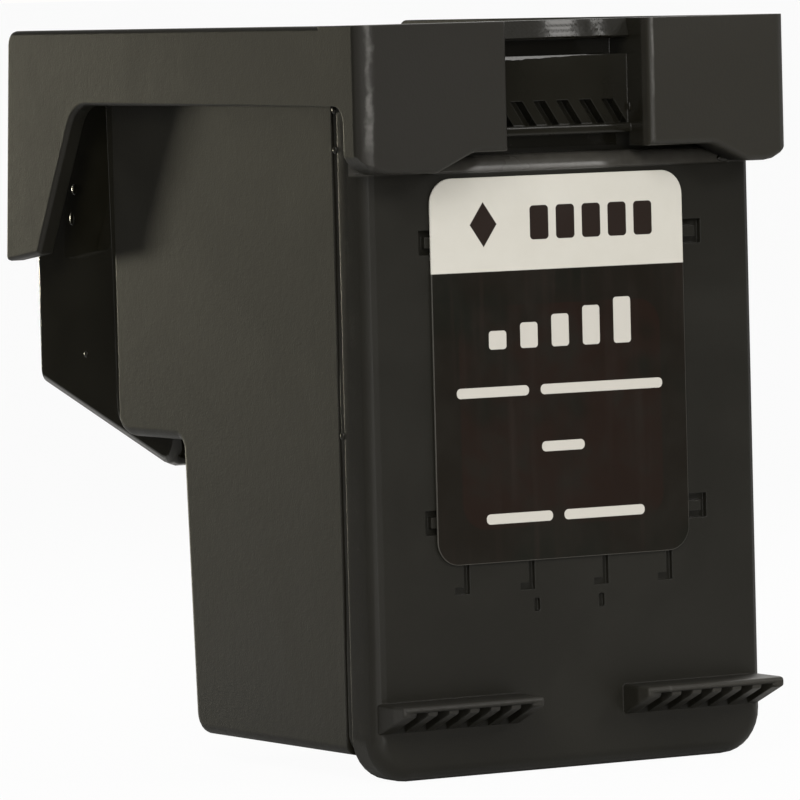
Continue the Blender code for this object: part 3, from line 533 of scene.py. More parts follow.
def make_box_group():
    """A printed bar with round corners, from the distance to its outline. Soft over the edge's width."""
    tree, given = new_group(
        "Printed bar",
        [
            ("Place", "NodeSocketVector", None),
            ("Centre", "NodeSocketVector", (0.0, 0.0, 0.0)),
            ("Half Size", "NodeSocketVector", (0.001, 1.0, 0.001)),
            ("Corner", "NodeSocketFloat", 0.0002),
            ("Edge", "NodeSocketFloat", PRINT_EDGE),
        ],
        [("Mask", "NodeSocketFloat")],
    )

    def vector(operation, *values):
        return add(tree, "ShaderNodeVectorMath", dict(enumerate(values)), operation=operation).outputs

    away = vector("ABSOLUTE", vector("SUBTRACT", given["Place"], given["Centre"])["Vector"])["Vector"]
    corner = add(tree, "ShaderNodeCombineXYZ", {"X": given["Corner"], "Y": 0.0, "Z": given["Corner"]})
    inner = vector("SUBTRACT", given["Half Size"], corner.outputs["Vector"])["Vector"]
    over = vector("MAXIMUM", vector("SUBTRACT", away, inner)["Vector"], (0.0, 0.0, 0.0))["Vector"]
    flat = vector("MULTIPLY", over, (1.0, 0.0, 1.0))["Vector"]
    distance = maths(tree, "SUBTRACT", vector("LENGTH", flat)["Value"], given["Corner"])
    mask = maths(tree, "DIVIDE", maths(tree, "SUBTRACT", 0.0, distance), given["Edge"])
    close_group(tree, Mask=maths(tree, "ADD", mask, 0.5, clamp=True))


def make_groups():
    make_grain_group()
    make_handling_group()
    make_speck_group()
    make_box_group()


# Materials


def new_material(name, **settings):
    """A material with its Principled shader set; gives it, its tree, the shader and Object coordinates."""
    made = bpy.data.materials.new(name)
    made.use_nodes = True
    tree = made.node_tree
    shader = tree.nodes["Principled BSDF"]
    for socket, value in settings.items():
        shader.inputs[socket.replace("_", " ")].default_value = value
    place = tree.nodes.new("ShaderNodeTexCoord").outputs["Object"]
    return made, tree, shader, place


def bumped(tree, shader, height, distance, strength=1.0, edge=0.0):
    """Leads a height to the shader's normal, over edges that are rounded by the given radius."""
    inputs = {"Height": height, "Distance": distance, "Strength": strength}
    if edge:
        rounded = add(tree, "ShaderNodeBevel", {"Radius": edge}, samples=6)
        inputs["Normal"] = rounded.outputs["Normal"]
    bump = add(tree, "ShaderNodeBump", inputs)
    tree.links.new(bump.outputs["Normal"], shader.inputs["Normal"])


def moulded_plastic(
    name, dark, light, rough_low, rough_high, polished=None, shine=0.2, wear_and_painted_light=None, edge=MOULD_EDGE
):
    """Black moulded plastic: grain, slow tone and gloss changes, a little dust, and rounded edges."""
    made, tree, shader, place = new_material(name, IOR=1.5, Specular_IOR_Level=0.3)
    handling = use(tree, "Handling", Place=place, Scale=75.0)["Amount"]
    specks = use(tree, "Dust specks", Place=place, Scale=420.0, Size=0.06, Share=0.05)["Mask"]
    tone = blend_colour(tree, handling, dark, light)
    # Painted light: lighter colours laid over masks, standing in for lit areas and highlights, some on edges
    # with wear
    if wear_and_painted_light:
        for mask, colour in wear_and_painted_light(tree, place):
            tone = blend_colour(tree, mask, tone, colour)
    dusted = blend_colour(tree, product(tree, specks, 0.35), tone, (0.22, 0.21, 0.19, 1.0))
    tree.links.new(dusted, shader.inputs["Base Color"])
    rough = between(tree, handling, 0.0, 1.0, rough_low, rough_high)
    grain = use(tree, "Mould grain", Place=place, Scale=7000.0)["Height"]
    if polished:
        gloss = polished(tree, place)
        shiny = between(tree, handling, 0.0, 1.0, shine * 0.85, shine * 1.2)
        rough = add(tree, "ShaderNodeMix", {"Factor": gloss, 2: rough, 3: shiny}).outputs[0]
        grain = product(tree, grain, between(tree, gloss, 0.0, 1.0, 1.0, 0.04))
    tree.links.new(rough, shader.inputs["Roughness"])
    bumped(tree, shader, grain, 0.012 * MM, edge=edge)
    return made


def polished_snout(tree, place):
    """The snout and its keel under the body's step, where the tool is polished.

    Neither the deck on top nor the step's side walls take the polish.
    """
    axes = split(tree, place)
    snout = product(tree, between(tree, axes["Z"], *UNDER_DECK), between(tree, axes["Y"], *SNOUT_FRONT))
    keel = product(
        tree,
        between(tree, maths(tree, "ABSOLUTE", axes["X"]), *KEEL_SIDE),
        between(tree, axes["Y"], *KEEL_FRONT),
        between(tree, axes["Z"], *KEEL_FOOT),
        between(tree, axes["Z"], *KEEL_TOP),
    )
    return greatest(tree, snout, keel)


def polished_notch(tree, place):
    """The notch behind the two leaves and the rounded shoulder below it."""
    axes = split(tree, place)
    aside = maths(tree, "ABSOLUTE", axes["X"])
    inside = between(tree, aside, NOTCH_HALF + 0.15 * MM, NOTCH_HALF + 0.05 * MM)
    notch = product(tree, inside, between(tree, axes["Z"], NOTCH_FOOT - 0.1 * MM, NOTCH_FOOT))
    round_edge = slab(tree, axes["Z"], SHOULDER_TOP - SHOULDER_ROUND, SHOULDER_TOP, 0.1 * MM)
    depth = slab(tree, axes["Y"], LID_FACE + 0.02 * MM, LID_FACE + 1.5 * MM, 0.02 * MM)
    near = between(tree, aside, SHOULDER_HALF + 0.2 * MM, SHOULDER_HALF)
    return greatest(tree, notch, product(tree, round_edge, depth, near))


def turn_about(tree, x, y, middle_x, middle_y, uneven):
    """The angle round an upright corner, from nought at its side to a quarter circle at its front."""
    out = maths(tree, "SUBTRACT", x, middle_x)
    forward = maths(tree, "SUBTRACT", middle_y, y)
    return maths(tree, "ADD", maths(tree, "ARCTAN2", forward, out), uneven)


def lid_wear_and_painted_light(tree, place):
    """Masks with their colours, all painted light: leaves painted paler, a shoulder painted lighter where it
    lies in shade, and painted highlights along edges that also show wear.

    The highlights are uneven and run down the left leaf's upright corner and the right leaf's edge at the
    notch.
    """
    axes = split(tree, place)
    front = LID_FACE - COLLAR_PROUD
    # Painted light: the leaves' fronts are painted paler, more so towards the right.
    leaf = between(tree, axes["Y"], *LEAF_PAINTED_LIGHT)
    to_right = between(tree, axes["X"], *PAINTED_LIGHT_SPAN)
    pale = blend_colour(tree, to_right, (0.0205, 0.0192, 0.0160, 1.0), (0.0260, 0.0243, 0.0195, 1.0))

    wobble = stretched_noise(tree, place, (900.0, 900.0, 620.0))
    uneven = product(tree, maths(tree, "SUBTRACT", wobble, 0.5), 0.9)
    spots = noise(tree, place, 430.0, 3.0, Roughness=0.7)
    aside = maths(tree, "ABSOLUTE", axes["X"])
    corner_rear = front + COLLAR_CORNER
    angle = turn_about(tree, aside, axes["Y"], LID_HIGH.x - COLLAR_CORNER, corner_rear, uneven)
    # Painted highlight down the left leaf's round corner, on the left half only, broken into spots.
    corner = product(
        tree,
        slab(tree, angle, 1.02, 1.10, 0.22),
        between(tree, axes["Y"], corner_rear + 0.05 * MM, corner_rear),
        between(tree, axes["Z"], *CORNER_HEIGHTS, 0.3, 1.0),
        between(tree, axes["X"], *LEFT_HALF),
        between(tree, spots, 0.35, 0.7, 0.3, 1.0),
    )
    # Painted highlight down the right leaf's edge at the notch.
    bend = maths(tree, "ADD", axes["X"], product(tree, uneven, LINE_WOBBLE))
    notch_edge_highlight = product(
        tree,
        slab(tree, bend, *NOTCH_LINE, 0.12 * MM),
        between(tree, axes["Y"], front + 0.1 * MM, front + 0.05 * MM),
        between(tree, axes["Z"], *NOTCH_HEIGHTS, 0.3, 1.0),
        between(tree, spots, 0.3, 0.65, 0.4, 1.0),
    )
    # Painted light: the shoulder's round, shaded under the leaves, is painted lighter.
    shoulder = product(
        tree,
        slab(tree, axes["Z"], SHOULDER_TOP - SHOULDER_ROUND + 0.2 * MM, SHOULDER_TOP, 0.2 * MM),
        slab(tree, axes["Y"], LID_FACE + 0.005 * MM, LID_FACE + 1.6 * MM, 0.01 * MM),
        between(tree, spots, 0.2, 0.7, 0.6, 1.0),
    )
    painted_highlights = greatest(tree, corner, notch_edge_highlight)
    return (leaf, pale), (shoulder, (0.060, 0.057, 0.050, 1.0)), (painted_highlights, (0.125, 0.122, 0.114, 1.0))


def polished_patch(tree, place):
    """The parts of the rail that are rubbed bright, with ragged outlines."""
    across = split(tree, place)["X"]
    ragged = product(tree, noise(tree, place, 1100.0, 4.0, Roughness=0.7), 2.4 * MM)
    patches = []
    for middle, half, amount in RUBBED_PATCHES:
        away = maths(tree, "ADD", distance_from(tree, across, middle), ragged)
        patches.append(product(tree, between(tree, away, half + 1.7 * MM, half * 0.6 + 0.5 * MM), amount))
    return greatest(tree, *patches)


def label_material():
    """Print under a thin varnish: a pale band over a dark field, with plain shapes in both."""
    made, tree, shader, place = new_material("label print", IOR=1.48, Specular_IOR_Level=0.2)
    middle = (LABEL_LOW + LABEL_HIGH) / 2
    half = (LABEL_HIGH - LABEL_LOW) / 2
    axes = split(tree, place)

    def bar(centre_x, centre_z, half_x, half_z, corner):
        sizes = {"Centre": (centre_x, 0.0, centre_z), "Half Size": (half_x, 1.0, half_z), "Corner": corner}
        return use(tree, "Printed bar", Place=place, **sizes)["Mask"]

    band_low = LABEL_HIGH.z - BAND_HEIGHT
    band = between(tree, axes["Z"], band_low - PRINT_EDGE, band_low + PRINT_EDGE)
    inner = half - Vector((PRINT_MARGIN, 0.0, PRINT_MARGIN))
    printed = bar(middle.x, middle.z, inner.x, inner.z, LABEL_CORNER - PRINT_MARGIN)
    field = product(tree, between(tree, printed, 0.0, 1.0, 0.90, 1.0), maths(tree, "SUBTRACT", 1.0, band))

    cloud = noise(tree, place, 260.0, 5.0, Roughness=0.65)
    streaks = stretched_noise(tree, place, (900.0, 900.0, 60.0))
    drift = noise(tree, place, 170.0, 2.0)
    paper = blend_colour(tree, cloud, (0.60, 0.58, 0.52, 1.0), (0.67, 0.655, 0.60, 1.0))
    inside = bar(
        middle.x,
        middle.z - BAND_HEIGHT / 2,
        half.x - WARM_INSET[0],
        half.z - BAND_HEIGHT / 2 - WARM_INSET[1],
        WARM_CORNER,
    )
    warm = product(tree, between(tree, drift, 0.30, 0.52), between(tree, inside, 0.0, 1.0, 0.35, 1.0))
    ink = blend_colour(tree, warm, (0.0062, 0.0064, 0.0038, 1.0), (0.0125, 0.0062, 0.0036, 1.0))
    ink = blend_colour(tree, between(tree, cloud, 0.45, 0.75), ink, (0.0100, 0.0082, 0.0052, 1.0))
    ink = blend_colour(tree, between(tree, streaks, 0.5, 0.85), ink, (0.0165, 0.0110, 0.0080, 1.0))

    band_middle = LABEL_HIGH.z - BAND_HEIGHT / 2
    dark_shapes = [
        bar(middle.x + BLOCK_FIRST + index * BLOCK_PITCH, band_middle, *BLOCK_HALF, BLOCK_CORNER)
        for index in range(BAND_BLOCKS)
    ]
    across = distance_from(tree, axes["X"], middle.x + LOZENGE_PLACE)
    upwards = distance_from(tree, axes["Z"], band_middle)
    shares = [maths(tree, "DIVIDE", reach, size) for reach, size in zip((across, upwards), LOZENGE_HALF)]
    dark_shapes.append(between(tree, maths(tree, "ADD", *shares), 1.03, 0.97))
    dark_print = product(tree, greatest(tree, *dark_shapes), band)

    pale_shapes = []
    for index in range(GAUGE_STEPS):
        height = GAUGE_HIGH * (0.4 + 0.6 * index / (GAUGE_STEPS - 1))
        step_x = middle.x + (index - (GAUGE_STEPS - 1) / 2) * GAUGE_PITCH
        pale_shapes.append(bar(step_x, GAUGE_FOOT + height / 2, GAUGE_WIDTH / 2, height / 2, GAUGE_CORNER))
    for rule_z, left, right in RULES:
        rule = bar((left + right) / 2, rule_z, (right - left) / 2, RULE_HEIGHT / 2, RULE_HEIGHT / 2.2)
        pale_shapes.append(rule)
    pale_print = product(tree, greatest(tree, *pale_shapes), field)

    colour = blend_colour(tree, field, paper, ink)
    colour = blend_colour(tree, pale_print, colour, (0.60, 0.58, 0.53, 1.0))
    colour = blend_colour(tree, dark_print, colour, (0.020, 0.013, 0.010, 1.0))
    tree.links.new(colour, shader.inputs["Base Color"])
    tree.links.new(between(tree, cloud, 0.3, 0.7, 0.38, 0.5), shader.inputs["Roughness"])
    bumped(tree, shader, noise(tree, place, 1500.0, 2.0), 0.006 * MM)
    return made


def handled(tree, shader, place, scale, rough_low, rough_high):
    """Leads slow changes of gloss to the shader, and gives their level."""
    handling = use(tree, "Handling", Place=place, Scale=scale)["Amount"]
    tree.links.new(between(tree, handling, 0.0, 1.0, rough_low, rough_high), shader.inputs["Roughness"])
    return handling


def copper_material():
    made, tree, shader, place = new_material("copper trace", Metallic=1.0)
    handling = handled(tree, shader, place, 400.0, 0.3, 0.45)
    colour = blend_colour(tree, handling, (0.72, 0.36, 0.14, 1.0), (0.62, 0.30, 0.12, 1.0))
    tree.links.new(colour, shader.inputs["Base Color"])
    grain = use(tree, "Mould grain", Place=place, Scale=20000.0)["Height"]
    bumped(tree, shader, grain, 0.002 * MM)
    return made


def flex_material():
    """Amber film with gold pads, told apart by height."""
    made, tree, shader, place = new_material("amber film", IOR=1.6)
    handling = handled(tree, shader, place, 160.0, 0.22, 0.36)
    film = blend_colour(tree, handling, (0.22, 0.085, 0.018, 1.0), (0.30, 0.125, 0.030, 1.0))
    film_top = FLEX_HIGH.z - PAD_RAISE
    height = split(tree, place)["Z"]
    pads = between(tree, height, film_top + PAD_RAISE * 0.3, film_top + PAD_RAISE * 0.6)
    gold = blend_colour(tree, handling, (0.86, 0.62, 0.27, 1.0), (0.75, 0.52, 0.22, 1.0))
    tree.links.new(blend_colour(tree, pads, film, gold), shader.inputs["Base Color"])
    tree.links.new(pads, shader.inputs["Metallic"])
    grain = use(tree, "Mould grain", Place=place, Scale=9000.0)["Height"]
    bumped(tree, shader, grain, 0.003 * MM)
    return made


def nozzle_material():
    """Gold foil with two rows of dark nozzles, placed by the fraction of a pitch along the row."""
    made, tree, shader, place = new_material("nozzle foil", Metallic=1.0)
    axes = split(tree, place)
    along = maths(tree, "FRACT", maths(tree, "DIVIDE", axes["Z"], NOZZLE_PITCH))
    aside = maths(tree, "SUBTRACT", maths(tree, "ABSOLUTE", axes["X"]), NOZZLE_ROW)
    parts = maths(tree, "SUBTRACT", along, 0.5), maths(tree, "DIVIDE", aside, NOZZLE_PITCH)
    squares = [maths(tree, "POWER", part, 2.0) for part in parts]
    holes = between(tree, maths(tree, "SQRT", maths(tree, "ADD", *squares)), 0.26, 0.2)
    handling = handled(tree, shader, place, 300.0, 0.24, 0.30)
    gold = blend_colour(tree, handling, (0.80, 0.60, 0.30, 1.0), (0.74, 0.54, 0.26, 1.0))
    tree.links.new(blend_colour(tree, holes, gold, (0.02, 0.015, 0.01, 1.0)), shader.inputs["Base Color"])
    bumped(tree, shader, maths(tree, "SUBTRACT", 1.0, holes), 0.02 * MM)
    return made


def foam_material():
    made, tree, shader, place = new_material("inked foam", Roughness=0.85)
    cells = add(tree, "ShaderNodeTexVoronoi", {"Vector": place, "Scale": 2200.0})
    depth = cells.outputs["Distance"]
    colour = blend_colour(tree, depth, (0.006, 0.006, 0.008, 1.0), (0.035, 0.035, 0.042, 1.0))
    tree.links.new(colour, shader.inputs["Base Color"])
    bumped(tree, shader, depth, 0.2 * MM)
    return made


def mesh_material():
    """A woven screen: two waves, square to each other."""
    made, tree, shader, place = new_material("steel screen", Metallic=1.0, Roughness=0.35)
    across = add(tree, "ShaderNodeTexWave", {"Vector": place, "Scale": 3000.0}, bands_direction="X")
    along = add(tree, "ShaderNodeTexWave", {"Vector": place, "Scale": 3000.0}, bands_direction="Z")
    weave = product(tree, across.outputs["Fac"], along.outputs["Fac"])
    colour = blend_colour(tree, weave, (0.10, 0.10, 0.10, 1.0), (0.62, 0.62, 0.60, 1.0))
    tree.links.new(colour, shader.inputs["Base Color"])
    bumped(tree, shader, weave, 0.03 * MM)
    return made


def silicon_material():
    made, tree, shader, place = new_material("silicon", Metallic=0.6)
    handling = handled(tree, shader, place, 500.0, 0.15, 0.28)
    colour = blend_colour(tree, handling, (0.20, 0.20, 0.25, 1.0), (0.28, 0.26, 0.32, 1.0))
    tree.links.new(colour, shader.inputs["Base Color"])
    return made


def epoxy_material():
    made, tree, shader, place = new_material("dark epoxy", IOR=1.55)
    handling = handled(tree, shader, place, 700.0, 0.12, 0.24)
    colour = blend_colour(tree, handling, (0.010, 0.009, 0.008, 1.0), (0.022, 0.019, 0.016, 1.0))
    tree.links.new(colour, shader.inputs["Base Color"])
    bumped(tree, shader, handling, 0.004 * MM)
    return made


# Pieces


def make_label(material):
    """The label's sheet: rings from its middle to its outline in front, over the edge and back behind."""
    middle = (LABEL_LOW + LABEL_HIGH) / 2
    half = (LABEL_HIGH - LABEL_LOW) / 2
    outline = round_box_outline(half.x, half.z, LABEL_CORNER, LABEL_SPOKES)
    share = np.linspace(0, 1, LABEL_RINGS) ** 0.8
    flat = share[:, None, None] * outline[None]
    x = middle.x + flat[..., 0]
    z = middle.z + flat[..., 1]
    dents = sum(np.exp(-(((x - place) / VENT_DENT_WIDTH) ** 2)) for place in VENT_PLACES)
    dents = dents * (z < VENT_TOP)
    front = np.stack([x, LABEL_LOW.y + LABEL_SINK + VENT_DENT * dents, z], axis=-1)
    rolled = front[-1:].copy()
    rolled[..., 1] = LABEL_LOW.y + LABEL_ROLL
    front[-1, :, 0] = middle.x + (front[-1, :, 0] - middle.x) * 0.997
    front[-1, :, 2] = middle.z + (front[-1, :, 2] - middle.z) * 0.998
    back = rolled.copy()
    back[..., 1] = LABEL_HIGH.y
    hub = np.broadcast_to(np.array([middle.x, LABEL_HIGH.y, middle.z]), back.shape)
    points = np.concatenate([front, rolled, back, hub])
    piece = joined("label_sheet", [grid_mesh("label_sheet", points, ring_columns=True)])
    return finish_piece(piece, material, "label_print", "label")


def on_flex(x, run):
    """A place on the circuit's outer skin: along the deck, a quarter circle, then down the nozzle face."""
    turn = np.clip((run - DECK_RUN) / BEND_RADIUS, 0, np.pi / 2)
    y = FLEX_LOW.y + np.minimum(run, DECK_RUN) + BEND_RADIUS * np.sin(turn)
    z = TRACE_TOP - BEND_RADIUS * (1 - np.cos(turn)) - np.maximum(run - BEND_RUN, 0)
    return np.stack([x + 0 * run, y, z], axis=-1)


def make_traces(material):
    """Ribbons from every pad, in lanes beside its column, over the bend and in to both ends of the die."""
    face_top = BEND_RUN + TRACE_TOP - BEND_RADIUS
    upper_end = face_top - PLATE_HIGH.z - TRACE_STOP
    lower_end = face_top - PLATE_LOW.z + TRACE_STOP
    ribbons = []
    for index, column in enumerate(PAD_COLUMNS):
        for row in range(PAD_ROWS):
            rows_after = PAD_ROWS - 1 - row
            lane = column - PAD_HALF - LANE_GAP - rows_after * TRACE_PITCH
            start = PAD_FIRST + row * PAD_PITCH
            if index < len(UPPER_LANES):
                end_lane = UPPER_LANES[index] + (rows_after, row)[index] * UPPER_PITCH
                end = upper_end
                turn, turned = (BEND_RUN + below for below in UPPER_TURN)
            else:
                end_lane = LOWER_LANE + row * LOWER_PITCH
                end = lower_end
                lowest = lower_end + (row - PAD_ROWS) * TRACE_PITCH
                turn, turned = lowest - LOWER_TURN[0], lowest + LOWER_TURN[1]
            way = [(column - PAD_HALF, start), (lane, start + LANE_ENTRY), (lane, turn), (end_lane, turned)]
            way.append((end_lane, end))
            ribbons += [ribbon(np.array(way) * (side, 1)) for side in (-1, 1)]
    return finish_piece(joined("flex_traces", ribbons), material, "nozzle_plate")


def ribbon(way):
    """A flat strip along a way of (x, run) on the circuit, sampled finely and widened to both sides."""
    length = np.concatenate([[0], np.cumsum(np.linalg.norm(np.diff(way, axis=0), axis=1))])
    steps = np.unique(np.concatenate([length, np.linspace(0, length[-1], TRACE_STEPS)]))
    line = np.stack([np.interp(steps, length, way[:, 0]), np.interp(steps, length, way[:, 1])], axis=1)
    along = np.gradient(line, axis=0)
    along /= np.linalg.norm(along, axis=1, keepdims=True)
    aside = np.stack([-along[:, 1], along[:, 0]], axis=1) * TRACE_WIDTH / 2
    left = line + aside
    right = line - aside
    points = np.stack([on_flex(left[:, 0], left[:, 1]), on_flex(right[:, 0], right[:, 1])], axis=1)
    return grid_mesh("ribbon", points)


def capped_sweep(name, rings):
    """A closed skin over a (sections, points, 3) array of rings: each end is a fan from its middle."""
    ends = [np.broadcast_to(ring.mean(axis=0), ring.shape)[None] for ring in (rings[0], rings[-1])]
    return grid_mesh(name, np.concatenate([ends[0], rings, ends[1]]), ring_columns=True)


def make_rail(material):
    """The rail over the notch's slot: a slope that leans back, with a round lower edge, rippled like scales.

    The ripple is a sine along X whose phase sways with the height, times a sine up the slope.
    """
    x = np.linspace(-NOTCH_HALF + RAIL_CLEAR, NOTCH_HALF - RAIL_CLEAR, 300)[:, None]
    share = np.linspace(0, 1, 48)[None, :]
    low = SLOT_TOP + RAIL_GAP
    high = LID_HIGH.z - RAIL_GAP
    out = RAIL_PROUD * (1 - share) * (1 - (1 - np.clip(share / 0.1, 0, 1)) ** 2) + RAIL_SKIN
    wave = np.sin(2 * np.pi * x / RIPPLE_LENGTH + 2.2 * np.sin(9 * share)) * np.sin(3.5 * np.pi * share)
    fade = np.sin(np.pi * share) ** 0.5
    y = LID_FACE - out - RIPPLE * wave * fade
    z = low + (high - low) * share + 0 * x
    front = np.stack([x + 0 * share, y, z], axis=-1)
    back = front[:, ::-1][:, [0, -1]].copy()
    back[..., 1] = LID_FACE - PLATE_CLEAR
    mesh = capped_sweep("notch_rail", np.concatenate([front, back], axis=1))
    return finish_piece(joined("notch_rail", [mesh]), material, "lid_plastic")


def make_lip(material):
    """The slot's lower lip: a sloped facet whose height and depth shrink along X to a point."""
    x = np.linspace(LIP_START, LIP_END, 120)
    size = LIP_HEIGHT * np.clip((LIP_END - x) / (LIP_END - LIP_START), 0.06, 1) ** 0.8
    size = size * (1 + sum(height * np.sin(x / length) for height, length in LIP_WAVES))
    share = np.linspace(0, 1, 10)
    z = SLOT_FOOT - size[:, None] * (1 - share)[None]
    out = LIP_TILT * (1 - share) * np.clip(share / 0.08, 0, 1)
    y = LID_FACE - PLATE_CLEAR - size[:, None] * out[None]
    front = np.stack([x[:, None] + 0 * z, y, z], axis=-1)
    back = front[:, [-1, 0]].copy()
    back[..., 1] = LID_FACE - PLATE_CLEAR / 2
    mesh = capped_sweep("slot_lip", np.concatenate([front, back], axis=1))
    return finish_piece(joined("slot_lip", [mesh]), material, "lid_plastic")


def nub(place, radius, height, long=1.0, face="X"):
    """A flattened ball: rings of radius sine of the angle, their centres a cosine along the way it faces."""
    turn = np.linspace(0.03, np.pi - 0.03, NUB_RINGS)[:, None]
    round_it = np.linspace(0, 2 * np.pi, NUB_SIDES, endpoint=False)[None]
    out = height * np.cos(turn) + 0 * round_it
    wide = radius * np.sin(turn) * np.cos(round_it)
    tall = radius * long * np.sin(turn) * np.sin(round_it)
    parts = (out, wide, tall) if face == "X" else (wide, out, tall)
    return capped_sweep("nub", np.stack(parts, axis=-1) + np.array(place))


def make_nubs(material):
    """Drops of plastic left by the weld and the tool: on the snout, in seam and notch, on the shoulder."""
    side = [nub((SNOUT_SIDE, y, z), *sizes) for (y, z), sizes in zip(SNOUT_NUB_PLACES, SNOUT_NUBS)]
    finish_piece(joined("snout_nubs", side), material, "body_plastic")
    front = [nub((-LID_HALF + 0.1 * MM, SEAM_Y, z), *SEAM_NUB) for z in SEAM_NUB_HEIGHTS]
    front.append(nub(NOTCH_NUB_PLACE, *NOTCH_NUB))
    front.append(nub(SHOULDER_NUB_PLACE, *SHOULDER_NUB, face="Y"))
    finish_piece(joined("seam_nubs", front), material, "lid_plastic")


def make_flash(material):
    """Weld flash in the seam: an oval of uneven size carried round the lid's outline."""
    half_height = (SEAM_HIGH - SEAM_LOW) / 2
    outline = round_box_outline(LID_HALF - SEAM_INSET, half_height - SEAM_INSET, FLASH_CORNER, FLASH_STEPS)
    outline[:, 1] += (SEAM_LOW + SEAM_HIGH) / 2
    run = np.linspace(0, 2 * np.pi, FLASH_STEPS, endpoint=False)
    uneven = sum(np.sin(k * run + k * k) / k for k in FLASH_WAVES)
    radius = FLASH_RADIUS * (1 + 0.25 * uneven / np.abs(uneven).max())
    tangent = np.roll(outline, -1, axis=0) - np.roll(outline, 1, axis=0)
    tangent /= np.linalg.norm(tangent, axis=1, keepdims=True)
    outward = np.stack([tangent[:, 1], -tangent[:, 0]], axis=1)
    angle = np.linspace(0, 2 * np.pi, FLASH_SIDES, endpoint=False)
    push = radius[:, None] * np.cos(angle)[None]
    x = outline[:, 0, None] + outward[:, 0, None] * push
    z = outline[:, 1, None] + outward[:, 1, None] * push
    y = SEAM_Y + FLASH_HALF * np.sin(angle)[None] + 0 * push
    mesh = grid_mesh("weld_flash", np.stack([x, y, z], axis=-1), ring_rows=True, ring_columns=True)
    return finish_piece(joined("weld_flash", [mesh]), material, "lid_plastic")


def round_strip(mesh):
    """Leans the corner normals of the lid's side strips forwards, the more so the nearer the front edge."""
    place, normals = corner_places(mesh)
    depth = place[:, 1] - LID_FACE
    on_strip = np.abs(np.abs(place[:, 0]) - LID_HALF) < ON_PLANE
    on_strip &= (np.abs(normals[:, 0]) > 0.995) & (depth < STRIP_REAR) & (place[:, 2] < STRIP_TOP)
    lean = STRIP_LEAN + STRIP_ROLL * (1 - np.clip(depth / STRIP_REAR, 0, 1))
    leant = np.stack([np.sign(place[:, 0]) * np.cos(lean), -np.sin(lean), 0 * lean], axis=1)
    mesh.normals_split_custom_set(np.where(on_strip[:, None], leant, normals).tolist())


def round_leaf_corners(mesh):
    """Corner normals of the leaves' round lower corners.

    Each points away from the corner's axis, which runs along Y, and turns forwards over the front edge's
    round. The side wall's normals point straight out.
    """
    place, normals = corner_places(mesh)
    counts = mesh_array(mesh.polygons, "loop_total", kind=int)
    facing_down = np.repeat(mesh_array(mesh.polygons, "normal", 3)[:, 2], counts) < -0.12
    aside = np.abs(place[:, 0])
    at_corner = facing_down & (aside > LEAF_AXIS_X - 0.1 * MM) & (place[:, 1] < SEAM_Y)
    at_corner &= (place[:, 2] < LEAF_AXIS_Z) & (place[:, 2] > LEAF_FOOT)
    away = np.stack([aside - LEAF_AXIS_X, 0 * aside, place[:, 2] - LEAF_AXIS_Z], axis=1)
    away /= np.linalg.norm(away, axis=1, keepdims=True)
    away[aside > LID_HIGH.x - ON_PLANE] = (1.0, 0.0, 0.0)
    away[:, 0] *= np.sign(place[:, 0])
    round_rear = LID_FACE - COLLAR_PROUD + LEAF_EDGE_ROUND
    forwards = np.clip((round_rear - place[:, 1]) / LEAF_EDGE_ROUND, 0, 1)[:, None]
    turned = away * np.sqrt(1 - forwards**2) - forwards * np.array([0.0, 1.0, 0.0])
    mesh.normals_split_custom_set(np.where(at_corner[:, None], turned, normals).tolist())


def dress_nodes():
    """Every node's finish, on a smooth copy or on the node itself, and the fine pieces."""
    dark = (0.0066, 0.0059, 0.0034, 1.0)
    light = (0.0092, 0.0084, 0.0052, 1.0)
    body = moulded_plastic("body plastic", dark, light, 0.42, 0.49, polished=polished_snout, shine=0.1)
    lid_dark = (0.0100, 0.0092, 0.0064, 1.0)
    lid_light = (0.0128, 0.0119, 0.0085, 1.0)
    # The lid's plastic carries painted light: paler leaves, a lighter shoulder and painted highlights on its
    # edges.
    lid = moulded_plastic(
        "lid plastic", lid_dark, lid_light, 0.42, 0.49, polished=polished_notch, shine=0.24, wear_and_painted_light=lid_wear_and_painted_light
    )
    finish_piece(smooth_copy("reservoir_body", "body_shell"), body, "body_plastic", "reservoir_body")
    shell = smooth_copy("lid", "lid_shell")
    round_strip(shell.data)
    round_leaf_corners(shell.data)
    finish_piece(shell, lid, "lid_plastic", "lid")
    finish_piece(smooth_copy("flex_circuit", "flex_film"), flex_material(), "amber_film", "flex_circuit")
    epoxy = epoxy_material()
    for side in ("lower", "upper"):
        node = f"encapsulant_bead_{side}"
        finish_piece(smooth_copy(node, f"bead_{side}", angle=BEAD_ANGLE), epoxy, "encapsulant", node)
    for node, material in (
        ("foam_block", foam_material()),
        ("filter_screen", mesh_material()),
        ("printhead_die", silicon_material()),
        ("nozzle_plate", nozzle_material()),
    ):
        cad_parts[node].data.materials.clear()
        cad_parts[node].data.materials.append(material)
    make_label(label_material())
    make_traces(copper_material())
    make_flash(lid)
    make_rail(
        moulded_plastic(
            "rubbed plastic", dark, light, 0.55, 0.62, polished=polished_patch, shine=0.10, edge=0.0
        )
    )
    make_lip(moulded_plastic("bright plastic", dark, light, 0.12, 0.16, edge=0.0))
    make_nubs(moulded_plastic("drop plastic", dark, light, 0.26, 0.32, edge=0.0))


# Studio


